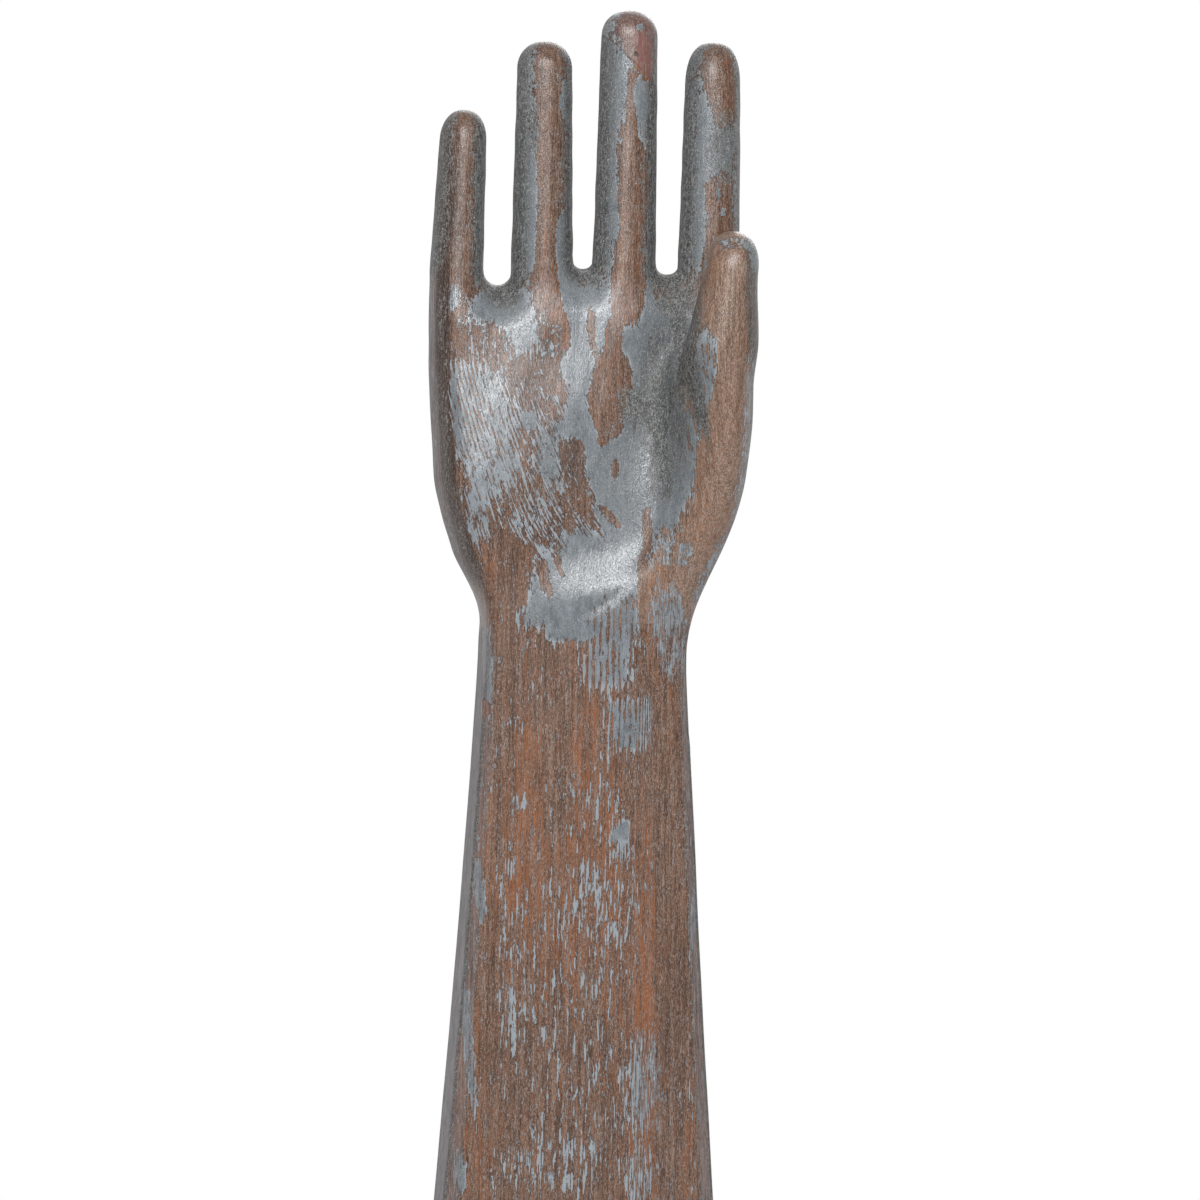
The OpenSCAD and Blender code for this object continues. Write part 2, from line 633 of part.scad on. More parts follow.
// Dowels across the thumb's seat, by their distances below the crotch
thumb_dowel_downs = [26, 9];
module thumb_dowel_set(grow, extra) {
    for (down = thumb_dowel_downs)
        translate([thumb_mid_low, -seat_depth + thumb_dowel_len / 2 + extra, crotch_z - down])
            rotate([90, 0, 0])
                cylinder(h = thumb_dowel_len + 2 * extra, d = thumb_dowel_d + 2 * grow, $fn = round_fn);
}

// Plug let into the little finger's side of the wrist
plug_down = 19;
plug_off = 0.3;
plug_z = forearm_len - plug_down;
plug_y = arm_chamfer(plug_z) - arm_half_t(plug_z) + plug_off;
module plug_body(grow, proud, extra) {
    translate([left_x(plug_z) - proud, plug_y, plug_z])
        rotate([0, 90, 0])
            cylinder(h = plug_len + proud + extra, d = plug_d + 2 * grow, $fn = round_fn);
}
module wrist_plug_solid() {
    difference() {
        plug_body(0, 0, 0);
        translate([left_x(plug_z), plug_y - plug_off, plug_z])
            rotate([0, 0, 45])
                translate([-2 * plug_d, -2 * plug_d, -plug_d])
                    cube([2 * plug_d, 4 * plug_d, 2 * plug_d]);
    }
}

// Foot: steel plate with four countersunk screws round the peg socket
screw_head_h = (screw_head_d - screw_d) / 2;
screw_recess = 0.3;
screw_point = 5;
screw_point_d = 0.6;
module screw_places() {
    for (sx = [-1, 1]) for (sy = [-1, 1]) translate([sx * screw_x, sy * screw_y, 0]) children();
}
module screw_shape(grow) {
    translate([0, 0, screw_recess]) {
        cylinder(h = screw_head_h, d1 = screw_head_d + 2 * grow, d2 = screw_d + 2 * grow, $fn = round_fn);
        cylinder(h = screw_len - screw_point, d = screw_d + 2 * grow, $fn = round_fn);
        translate([0, 0, screw_len - screw_point])
            cylinder(
                h = screw_point + grow,
                d1 = screw_d + 2 * grow,
                d2 = screw_point_d + 2 * grow,
                $fn = round_fn
            );
    }
}
screw_slot_w = 1.1;
screw_slot_depth = 0.9;
socket_outer = socket_d + 2 * socket_wall;

module palm_board() {
    color(wood_red)
        difference() {
            board_blank(-1);
            cut_outs();
            thumb_dowel_set(pin_gap, pin_gap);
            plug_body(pin_gap, through, pin_gap);
        }
}
module back_board() {
    color(wood_light)
        difference() {
            board_blank(1);
            cut_outs();
        }
}
module cut_outs() {
    scarf_cutter();
    brad(pin_gap, pin_gap);
    board_dowel_set(pin_gap, pin_gap);
    cylinder(h = socket_len + socket_gap, d = socket_outer + 2 * socket_gap, $fn = round_fn);
    screw_places() screw_shape(pin_gap);
}
module thumb_block() {
    color(wood_light)
        difference() {
            thumb_blank();
            thumb_dowel_set(pin_gap, pin_gap);
        }
}
module middle_fingertip() {
    color(wood_red)
        difference() {
            intersection() {
                finger_blank(2, finger_rows - 2);
                scarf_cutter();
            }
            brad(pin_gap, through);
        }
}
module fingertip_brad() {
    color(steel) brad(0, 0);
}
module thumb_dowels() {
    color(dowel_wood) thumb_dowel_set(0, 0);
}
module board_dowels() {
    color(dowel_wood) board_dowel_set(0, 0);
}
module wrist_plug() {
    color(wood_red) wrist_plug_solid();
}
module foot_plate() {
    half_w = base_w / 2 - plate_inset;
    half_t = base_t / 2 - plate_inset;
    c = base_chamfer;
    color(steel)
        difference() {
            linear_extrude(plate_t)
                polygon([
                    [-half_w + c, -half_t],
                    [half_w - c, -half_t],
                    [half_w, -half_t + c],
                    [half_w, half_t - c],
                    [half_w - c, half_t],
                    [-half_w + c, half_t],
                    [-half_w, half_t - c],
                    [-half_w, -half_t + c]
                ]);
            translate([0, 0, -through])
                cylinder(h = plate_t + 2 * through, d = socket_outer + 2 * socket_gap, $fn = round_fn);
            screw_places() {
                screw_shape(pin_gap);
                translate([0, 0, -through])
                    cylinder(
                        h = through + screw_recess + eps,
                        d = screw_head_d + 2 * pin_gap,
                        $fn = round_fn
                    );
            }
        }
}
module foot_screws() {
    color(steel)
        screw_places()
            difference() {
                screw_shape(0);
                translate([-screw_head_d, -screw_slot_w / 2, screw_recess - through])
                    cube([2 * screw_head_d, screw_slot_w, through + screw_slot_depth]);
            }
}
module peg_socket() {
    color(steel)
        difference() {
            cylinder(h = socket_len, d = socket_outer, $fn = round_fn);
            translate([0, 0, -through])
                cylinder(h = socket_len + 2 * through, d = socket_d, $fn = round_fn);
        }
}

palm_board();
back_board();
thumb_block();
middle_fingertip();
fingertip_brad();
thumb_dowels();
board_dowels();
wrist_plug();
foot_plate();
foot_screws();
peg_socket();
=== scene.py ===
# Worn painted glove mold: a carved hand and forearm of hardwood, standing on its steel foot
import json
import math

import bpy
import numpy as np
from mathutils import Matrix, Vector


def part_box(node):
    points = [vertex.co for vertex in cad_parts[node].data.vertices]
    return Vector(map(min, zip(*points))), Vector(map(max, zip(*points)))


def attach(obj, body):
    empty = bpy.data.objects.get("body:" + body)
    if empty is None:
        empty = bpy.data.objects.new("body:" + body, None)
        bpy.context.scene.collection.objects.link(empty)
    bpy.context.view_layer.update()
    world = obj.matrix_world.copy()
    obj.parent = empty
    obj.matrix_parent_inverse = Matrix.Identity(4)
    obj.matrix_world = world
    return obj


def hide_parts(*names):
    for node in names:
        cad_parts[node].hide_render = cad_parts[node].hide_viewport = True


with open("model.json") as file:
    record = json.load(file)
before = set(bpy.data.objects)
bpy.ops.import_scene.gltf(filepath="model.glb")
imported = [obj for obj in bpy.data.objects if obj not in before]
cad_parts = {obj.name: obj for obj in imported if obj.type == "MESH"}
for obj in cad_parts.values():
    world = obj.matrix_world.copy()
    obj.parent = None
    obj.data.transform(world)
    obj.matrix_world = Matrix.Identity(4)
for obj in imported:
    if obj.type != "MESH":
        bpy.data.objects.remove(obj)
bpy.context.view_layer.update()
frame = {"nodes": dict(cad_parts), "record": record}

nodes = frame["nodes"]
mm = 0.001

# Sizes of the carving in millimetres, as the solids have them
arm = {
    "length": 303.0,
    "baseWidth": 107.0,
    "baseThickness": 46.0,
    "wristWidth": 65.0,
    "wristThickness": 33.0,
    "baseChamfer": 6.2,
    "wristChamfer": 2.8,
    "curve": 1.2,
    "arrisWear": 1.3,        # half the stretch over which an arris is rubbed round
    "foot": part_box("foot_plate")[1].z / mm,
}
palm = {
    "length": 120.0,
    "shift": 1.4,
    "flareLittle": 55.5,
    "flareThumb": 56.0,
    "lateFlare": 0.19,
    "lateStart": 30.0,
    "sideBulge": 2.4,
    "bulgeStart": 0.8,
    "bulgeFull": 8.0,
    "front": 13.8,
    "back": 14.5,
    "frontRise": 40.0,
    "frontFall": 48.0,
    "backRise": 40.0,
    "backFall": 45.0,
    "reliefStart": 12.0,
    "frontRound": 10.0,
    "backRound": 16.0,
    "sideRound": 0.6,
    "roundFade": 20.0,
    "webRound": 15.0,
    "webPower": 1.5,         # below a slot the rounding starts sooner than a circle's, which has a power of 2
    "webMargin": 20.0,
    "wristBlend": 32.0,
    "thumbBlend": 24.0,
    "thumbBlendPast": 4.0,
    "slide": 24.0,           # stretch below the blend over which the columns slide to the carved spacing
    "heelSide": (20.0, 15.0, 1.4),   # bulge beside the heel: height above the wrist, reach and size
}
# Hills and hollows of the palm: place across, height above the wrist, rise, size across and along
relief = {
    "heel": (4.0, 13.0, 2.6, 18.0, 12.0),
    "heelSlant": 0.3,
    "hollow": (24.0, 86.0, -5.0, 12.0, 26.0),
    "hollowSlant": 0.25,
    "moundIn": 20.0,
    "mound": (48.0, 3.6, 22.0, 26.0),
    "crown": (2.0, 62.0, 1.5, 30.0, 30.0),
    "pad": (0.8, 16.0, 8.0, 9.0),
    "knuckle": (0.7, 16.0, 8.0, 9.0),
    "valley": (0.2, 22.0, 4.5, 13.0),
}
fingers = {
    "width": (17.1, 19.9, 20.4, 19.9),
    "length": (51.9, 74.4, 85.0, 75.4),
    "slot": (8.9, 6.3, 7.1),
    "webDrop": (3.8, -2.0, -0.8),
    "taper": 2.6,
    "depth": 10.0,
    "tipDepth": 8.2,
    "tipShift": (1.7, -0.2, 0.5, 0.4),
    "dome": (9.5, 9.0, 8.6, 15.0),
    "domePower": (2.2, 2.2, 2.2, 2.7),
}
thumb = {
    "seat": 18.0,
    "crotch": 84.0,
    "top": 133.6,
    "width": 22.6,
    "thickness": 20.6,
    "left": 28.6,
    "thenarLeft": 8.0,
    "thenarLow": 9.0,
    "lean": 2.6,
    "seatPower": 2.6,
    "seatSlope": (12.0, 3.0, 0.0, 36.0),
    "seatBend": 2.0,         # power of the palm's rise to the seat low down, 1 high up
    "seatRamp": 30.0,
    "seatFade": 15.0,
    "dome": 12.6,
    "domePower": 2.2,
    "foot": 0.02,
    "leftOut": 2.4,          # how far the left edge lies further out at the crotch and further in near the tip
    "leftIn": 1.6,
    "crestStart": 0.0,
    "crestReach": 6.0,
    "crestGlued": 0.62,
    "backShare": 0.44,
    "freeRise": 14.0,
    "narrowing": 3.4,
    "cornerRound": 12.0,     # reach of the rounding of the outer edge beside the wrist
    "cornerDepth": 0.55,
    "tuckFade": 25.0,
}
# Counts of rows and columns of the carved surfaces
mesh = {
    "fingerCells": 32,
    "slotCells": 16,
    "armRow": 2.0,
    "palmRow": 1.1,
    "webRows": 18,
    "fingerRow": 1.2,
    "tipRows": 12,
    "thumbRow": 1.1,
    "thumbCells": 56,
    "seamDepth": 0.16,       # depth of the fine groove where the two boards meet
    "wave": 0.16,            # how far the hand carving strays from the true form, slowly and in small facets
    "facets": 0.035,
    "drift": 0.07,           # how far the outline strays across
}


# Small array functions: t held to 0..1, a smooth step, a straight mix and a round hill
def clamp01(t):
    return np.clip(t, 0.0, 1.0)


def ease(a, b, x):
    t = clamp01((x - a) / (b - a))
    return t * t * (3 - 2 * t)


def mix(a, b, t):
    return a + (b - a) * t


def hill(dx, dz, across, along):
    return np.exp(-(dx / across) ** 2 - (dz / along) ** 2)


# A dome: the p-th root of one less the p-th power of t
def domed(t, power):
    return np.maximum(0.0, 1 - clamp01(t) ** power) ** (1 / power)


# Smooth lumps: the mean of plane waves that run in random directions, with a wavelength near size
def lumps(points, size, seed, waves=14):
    rng = np.random.default_rng(seed)
    turns = rng.normal(size=(waves, 3))
    turns *= (2 * math.pi / size) * rng.uniform(0.6, 1.4, (waves, 1)) / np.linalg.norm(turns, axis=1)[:, None]
    phases = rng.uniform(0, 2 * math.pi, waves)
    return np.sin(points @ turns.T + phases).sum(axis=-1) / math.sqrt(waves)


wristZ = arm["length"]
knuckleZ = wristZ + palm["length"]
crotchZ = wristZ + thumb["crotch"]
thumbTopZ = wristZ + thumb["top"]
seatLowZ = wristZ + thumb["thenarLow"]
lowZ = knuckleZ - palm["webMargin"]
knuckleWidth = sum(fingers["width"]) + sum(fingers["slot"])
edgeLeft = -knuckleWidth / 2 - palm["shift"]
steps = np.array([fingers["width"][i] + fingers["slot"][i] for i in range(3)])
rootLeft = edgeLeft + np.concatenate([[0.0], np.cumsum(steps)])
rootRight = rootLeft + np.array(fingers["width"])
edgeRight = rootRight[3]
slotX = (rootRight[:3] + rootLeft[1:]) / 2
slotR = np.array(fingers["slot"]) / 2
slotZ = knuckleZ - np.array(fingers["webDrop"]) + slotR
rootZLeft = slotZ[[0, 0, 1, 2]]
rootZRight = slotZ[[0, 1, 2, 2]]
fingerTop = knuckleZ + np.array(fingers["length"])


# Outline of the arm: the forearm flares by a power of the distance below the wrist, the palm by smooth steps
def armShare(z):
    return clamp01((wristZ - z) / wristZ) ** arm["curve"]


def halfWidth(z):
    return mix(arm["wristWidth"] / 2, arm["baseWidth"] / 2, armShare(z))


def leftX(z):
    early = ease(wristZ, wristZ + palm["flareLittle"], z)
    late = ease(wristZ + palm["lateStart"], lowZ, z)
    hand = mix(-arm["wristWidth"] / 2, edgeLeft, mix(early, late, palm["lateFlare"]))
    up, reach, size = palm["heelSide"]
    hand = hand - size * np.exp(-((z - wristZ - up) / reach) ** 2) * ease(wristZ, wristZ + up / 2, z)
    return np.where(z < wristZ, -halfWidth(z), hand)


def rightX(z):
    flare = palm["flareThumb"]
    bulge = palm["sideBulge"] * ease(wristZ + flare * palm["bulgeStart"], crotchZ - palm["bulgeFull"], z)
    bulge = bulge * (1 - ease(crotchZ, knuckleZ, z))
    hand = mix(arm["wristWidth"] / 2, edgeRight, ease(wristZ, wristZ + flare, z)) + bulge
    return np.where(z < wristZ, halfWidth(z), hand)


def armHalfDepth(z):
    return mix(arm["wristThickness"] / 2, arm["baseThickness"] / 2, armShare(z))


def armChamfer(z):
    return mix(arm["wristChamfer"], arm["baseChamfer"], armShare(z))


# A finger: its middle drifts, its half width and its depth shrink along it, and a dome closes the tip
def along(i, z):
    return clamp01((z - knuckleZ) / fingers["length"][i])


def tipDome(i, z):
    size = fingers["dome"][i]
    return domed((z - fingerTop[i] + size) / size, fingers["domePower"][i])


def fingerMid(i, z):
    return (rootLeft[i] + rootRight[i]) / 2 + fingers["tipShift"][i] * along(i, z)


def fingerHalf(i, z):
    return (fingers["width"][i] - fingers["taper"] * along(i, z)) / 2 * tipDome(i, z)


def fingerDeep(i, z):
    return mix(fingers["depth"], fingers["tipDepth"], along(i, z)) * tipDome(i, z)


# Rounding towards an edge: the root of one less the squares, or lower powers, of what is left to each edge and slot
def edgeTerm(distance, radius, power=2.0):
    return np.maximum(0.0, 1 - distance / radius) ** power


def slotTerm(j, x, z):
    dx = x - slotX[j]
    dz = np.maximum(0.0, slotZ[j] - z)
    far = np.maximum(0.01, np.hypot(dx, dz))
    side = np.where(x < slotX[j], fingers["width"][j], fingers["width"][j + 1]) / 2
    below = (dz / far) ** 2
    return edgeTerm(far - slotR[j], mix(side, palm["webRound"], below), mix(2.0, palm["webPower"], below))


def rounding(x, z, roundLeft, roundRight):
    left = edgeTerm(x - leftX(z), roundLeft) + edgeTerm(rightX(z) - x, roundRight)
    return np.sqrt(np.maximum(0.0, 1 - left - sum(slotTerm(j, x, z) for j in range(3))))


# Left edge of the thumb's seat, and the share of the palm that rises to it
def seatLeft(z):
    t = clamp01((z - seatLowZ) / (crotchZ - seatLowZ))
    left = mix(thumb["thenarLeft"], thumb["left"], 1 - (1 - t) ** thumb["seatPower"])
    return left - thumb["leftOut"] * ease(0.5, 1.0, t)


def seatShare(x, z):
    low, high, start, end = thumb["seatSlope"]
    height = ease(start, end, z - wristZ)
    slope = mix(low, high, height)
    power = mix(thumb["seatBend"], 1.0, height)
    rise = ease(seatLowZ - thumb["seatRamp"], seatLowZ, z) * (1 - ease(crotchZ, crotchZ + thumb["seatFade"], z))
    return np.exp(-(np.maximum(0.0, seatLeft(z) - x) / slope) ** power) * rise


def fingerRelief(x, up, bump):
    rise, down, across, length = bump
    drop, valleyDown, valleyAcross, valleyLength = relief["valley"]
    pads = sum(hill(x - (rootLeft[i] + rootRight[i]) / 2, up - palm["length"] + down, across, length)
               for i in range(4))
    valleys = sum(hill(x - slotX[j], up - palm["length"] + valleyDown, valleyAcross, valleyLength)
                  for j in range(3))
    return rise * pads - drop * valleys


# Depth of the palm in front of the glue plane, and of the back of the hand behind it
def palmDepth(x, z):
    up = z - wristZ
    level = mix(armHalfDepth(z), palm["front"], ease(0, palm["frontRise"], up))
    level = mix(level, fingers["depth"], ease(palm["length"] - palm["frontFall"], palm["length"], up))
    heelX, heelUp, heelRise, heelAcross, heelAlong = relief["heel"]
    hollowX, hollowUp, hollowRise, hollowAcross, hollowAlong = relief["hollow"]
    moundUp, moundRise, moundAcross, moundAlong = relief["mound"]
    lean = relief["hollowSlant"] * (up - hollowUp)
    heelTilt = relief["heelSlant"] * (x - heelX)
    form = heelRise * hill(x - heelX, up - heelUp - heelTilt, heelAcross, heelAlong)
    form = form + hollowRise * hill(x - hollowX - lean, up - hollowUp, hollowAcross, hollowAlong)
    form = form + moundRise * hill(x - edgeLeft - relief["moundIn"], up - moundUp, moundAcross, moundAlong)
    floor = level + ease(0, palm["reliefStart"], up) * (form + fingerRelief(x, up, relief["pad"]))
    return mix(floor, thumb["seat"], seatShare(x, z))


def backDepth(x, z):
    up = z - wristZ
    level = mix(armHalfDepth(z), palm["back"], ease(0, palm["backRise"], up))
    level = mix(level, fingers["depth"], ease(palm["length"] - palm["backFall"], palm["length"], up))
    crownX, crownUp, crownRise, crownAcross, crownAlong = relief["crown"]
    form = crownRise * hill(x - crownX, up - crownUp, crownAcross, crownAlong)
    return level + ease(0, palm["reliefStart"], up) * (form + fingerRelief(x, up, relief["knuckle"]))


# A point of the carved face: its depth times its rounding
def carved(side, x, z):
    littleHalf = fingers["width"][0] / 2
    indexHalf = fingers["width"][3] / 2
    fade = lowZ - palm["roundFade"]
    if side < 0:
        left = mix(palm["frontRound"], littleHalf, ease(fade, slotZ[0], z))
        right = mix(palm["sideRound"], indexHalf, ease(crotchZ, slotZ[2], z))
        depth = palmDepth(x, z)
    else:
        left = mix(palm["backRound"], littleHalf, ease(fade, slotZ[0], z))
        right = mix(palm["backRound"], indexHalf, ease(fade, slotZ[2], z))
        depth = backDepth(x, z)
    return side * depth * rounding(x, z, left, right)


# The planed section at share w of its length: side, chamfer, face, chamfer, side, as the mean of a few points
# near w, which rubs its corners round
def planed(side, w, z):
    l, r, c, d = -halfWidth(z), halfWidth(z), armChamfer(z), armHalfDepth(z)
    zero = np.zeros_like(z)
    corners = [(l, zero), (l, d - c), (l + c, d), (r - c, d), (r, d - c), (r, zero)]
    lengths = [np.hypot(b[0] - a[0], b[1] - a[1]) for a, b in zip(corners, corners[1:])]
    total = sum(lengths)
    wear = arm["arrisWear"] * (1 + 0.45 * np.sin(z / 9.0) * np.sin(z / 23.0 + 1.0))
    xs, ys = 0.0, 0.0
    offsets = np.linspace(-1.0, 1.0, 7)
    for offset in offsets:
        s = w * total + offset * wear
        start = 0.0
        x, y = l, zero
        for n, (a, b, length) in enumerate(zip(corners, corners[1:], lengths)):
            t = (s - start) / length
            t = np.minimum(t, 1.0) if n == 0 else np.maximum(t, 0.0) if n == 4 else clamp01(t)
            x = x + (b[0] - a[0]) * t
            y = y + (b[1] - a[1]) * t
            start = start + length
        xs, ys = xs + x / len(offsets), ys + y / len(offsets)
    return xs, side * ys


# Share of a section's length at each of its points: the summed lengths of its steps over their total
def lengthShare(x, y):
    steps = np.hypot(np.diff(x, axis=1), np.diff(y, axis=1))
    summed = np.cumsum(np.concatenate([np.zeros((len(x), 1)), steps], axis=1), axis=1)
    return summed / summed[:, -1:]


# Columns across the knuckles: cosine steps over each finger and each slot
def cosineSteps(count):
    return (1 - np.cos(np.pi * np.arange(count + 1) / count)) / 2


fingerCells, slotCells = mesh["fingerCells"], mesh["slotCells"]
columnParts, topParts = [], []
for i in range(4):
    columnParts.append(mix(rootLeft[i], rootRight[i], cosineSteps(fingerCells)))
    topParts.append(mix(rootZLeft[i], rootZRight[i], cosineSteps(fingerCells)))
    if i < 3:
        part = mix(rootRight[i], rootLeft[i + 1], cosineSteps(slotCells))[1:-1]
        d = (part - slotX[i]) / slotR[i]
        columnParts.append(part)
        topParts.append(mix(rootZRight[i], rootZLeft[i + 1], (d + 1) / 2) - slotR[i] * np.sqrt(1 - d * d))
columnX = np.concatenate(columnParts)
columnTop = np.concatenate(topParts)
columnShare = (columnX - edgeLeft) / knuckleWidth
columnCount = len(columnX)
fingerStart = [i * (fingerCells + slotCells) for i in range(4)]
onSlot = np.ones(columnCount, bool)
for first in fingerStart:
    onSlot[first + 1:first + fingerCells] = False


# Rows from z0 to z1 no further apart than gap
def rowsBetween(z0, z1, gap):
    return np.linspace(z0, z1, int(math.ceil((z1 - z0) / gap)) + 1)


# Half of a finger over its length: an ellipse of the half width and depth, from the knuckles to the dome
def fingerGrid(side, i, zLow=None):
    turn = np.pi * np.arange(fingerCells + 1) / fingerCells
    start = mix(rootZLeft[i], rootZRight[i], cosineSteps(fingerCells)) if zLow is None else zLow
    domeZ = fingerTop[i] - fingers["dome"][i]
    count = int((domeZ - np.min(start)) / mesh["fingerRow"])
    straight = mix(start, domeZ, (np.arange(1, count + 1) / count)[:, None] * np.ones(fingerCells + 1))
    tip = domeZ + fingers["dome"][i] * np.sin(np.pi / 2 * np.arange(1, mesh["tipRows"]) / mesh["tipRows"])
    z = np.concatenate([straight, tip[:, None] * np.ones(fingerCells + 1)])
    x = fingerMid(i, z) - fingerHalf(i, z) * np.cos(turn)
    y = side * fingerDeep(i, z) * np.sin(turn)
    return np.stack([x, y, z], axis=-1)


# The whole carved side of a board as one grid of rows and columns
def boardGrid(side):
    blendFrom = wristZ - palm["thumbBlend"]
    z = np.concatenate([
        rowsBetween(arm["foot"], blendFrom, mesh["armRow"])[:-1],
        rowsBetween(blendFrom, lowZ, mesh["palmRow"]),
    ])[:, None] * np.ones(columnCount)
    w = np.arange(columnCount) / (columnCount - 1)
    x = mix(leftX(z), rightX(z), columnShare)
    cx, cy = x, carved(side, x, z)
    matched = mix(w, lengthShare(cx, cy), ease(blendFrom - palm["slide"], blendFrom, z))
    px, py = planed(side, matched, z)
    onLeft = ease(wristZ, wristZ + palm["wristBlend"], z)
    onRight = ease(wristZ - palm["thumbBlend"], wristZ + palm["thumbBlendPast"], z) if side < 0 else onLeft
    t = mix(onLeft, onRight, ease(0.5, 1.0, w))
    if side < 0:
        t = np.maximum(t, seatShare(x, z))
    lower = np.stack([mix(px, cx, t), mix(py, cy, t), z], axis=-1)
    s = (np.arange(1, mesh["webRows"] + 1) / mesh["webRows"])[:, None]
    z = mix(lowZ, columnTop, s)
    x = mix(mix(leftX(np.array(lowZ)), rightX(np.array(lowZ)), columnShare), columnX, s)
    x[:, 0], x[:, -1] = leftX(z[:, 0]), rightX(z[:, -1])
    y = carved(side, x, z)
    y[-1, onSlot] = 0.0
    grid = np.concatenate([lower, np.stack([x, y, z], axis=-1)])
    grid[:, [0, -1], 1] = 0.0
    return grid


# Faces of a grid whose points are numbered by an index array, as rows of four
def gridFaces(index):
    a, b, c, d = index[:-1, :-1], index[:-1, 1:], index[1:, 1:], index[1:, :-1]
    return np.stack([a, b, c, d], axis=-1).reshape(-1, 4)


# A mesh piece from points in millimetres and lists of faces
def makePiece(name, points, faceSets, flip=False):
    faces = [[int(n) for n in face] for group in faceSets for face in group]
    if flip:
        faces = [face[::-1] for face in faces]
    data = bpy.data.meshes.new(name)
    data.from_pydata((np.asarray(points) * mm).tolist(), [], faces)
    data.update()
    piece = bpy.data.objects.new(name, data)
    bpy.context.scene.collection.objects.link(piece)
    return piece


# Hand carving: the surface strays inwards by slow lumps, less where it is planed and not under the thumb block
def strayed(points):
    stray = mesh["wave"] * (0.5 + 0.5 * lumps(points * np.array([1, 1, 0.45]), 16.0, 5))
    stray = stray + mesh["facets"] * lumps(points * np.array([1, 1, 0.4]), 5.0, 6)
    stray = np.clip(stray, 0.0, 2 * mesh["wave"]) * ease(wristZ - 40, wristZ + 30, points[:, 2])
    seated = ease(0.4, 0.9, seatShare(points[:, 0], points[:, 2]))
    stray = stray * np.where(points[:, 1] < 0, 1 - seated, 1.0)
    drift = mesh["drift"] * lumps(points * np.array([0.6, 0, 1]), 8.0, 12)
    held = ease(22, 34, points[:, 0]) * (1 - ease(crotchZ + 10, knuckleZ, points[:, 2]))
    drift = drift * ease(wristZ - 10, wristZ + 30, points[:, 2]) * (1 - held)
    out = points.copy()
    out[:, 0] += drift
    out[:, 1] -= np.sign(points[:, 1]) * np.minimum(stray, np.abs(points[:, 1]) * 0.2)
    return out


# Middle of the finger or palm that a point belongs to, by which a seam's groove is cut inwards
def seamSide(points):
    x, z = points[:, 0], points[:, 2]
    mids = (rootLeft + rootRight) / 2
    nearest = mids[np.abs(x[:, None] - mids[None, :]).argmin(axis=1)]
    return np.where(z > knuckleZ + 1, nearest, 0.0)


# A board: its carved grid, four half fingers with a point at each tip, and the flat glue and foot faces
def makeBoard(name, side):
    grid = boardGrid(side)
    rows = len(grid)
    index = np.arange(rows * columnCount).reshape(rows, columnCount)
    pointSets, faceSets = [grid.reshape(-1, 3)], [gridFaces(index)]
    count = rows * columnCount
    outline = [index[:, 0]]
    for i in range(4):
        part = fingerGrid(side, i)
        own = count + np.arange(part.shape[0] * part.shape[1]).reshape(part.shape[:2])
        pole = count + own.size
        root = index[-1:, fingerStart[i]:fingerStart[i] + fingerCells + 1]
        ring = np.concatenate([root, own])
        faceSets.append(gridFaces(ring))
        faceSets.append(np.stack([ring[-1, :-1], ring[-1, 1:], np.full(fingerCells, pole)], axis=-1))
        pointSets += [part.reshape(-1, 3), np.array([[fingerMid(i, fingerTop[i]), 0.0, fingerTop[i]]])]
        count = pole + 1
        outline += [own[:, 0], [pole], own[::-1, -1]]
        if i < 3:
            outline.append(index[-1, fingerStart[i] + fingerCells:fingerStart[i + 1] + 1])
    outline.append(index[::-1, -1])
    outline = np.concatenate(outline)
    foot = index[0, ::-1]
    points = strayed(easedCorner(np.concatenate(pointSets)))
    onSeam = np.zeros(len(points))
    onSeam[outline] = 1.0
    points[:, 0] -= np.sign(points[:, 0] - seamSide(points)) * onSeam * mesh["seamDepth"]
    return makePiece(name, points, [*faceSets, [outline], [foot]], flip=side > 0)


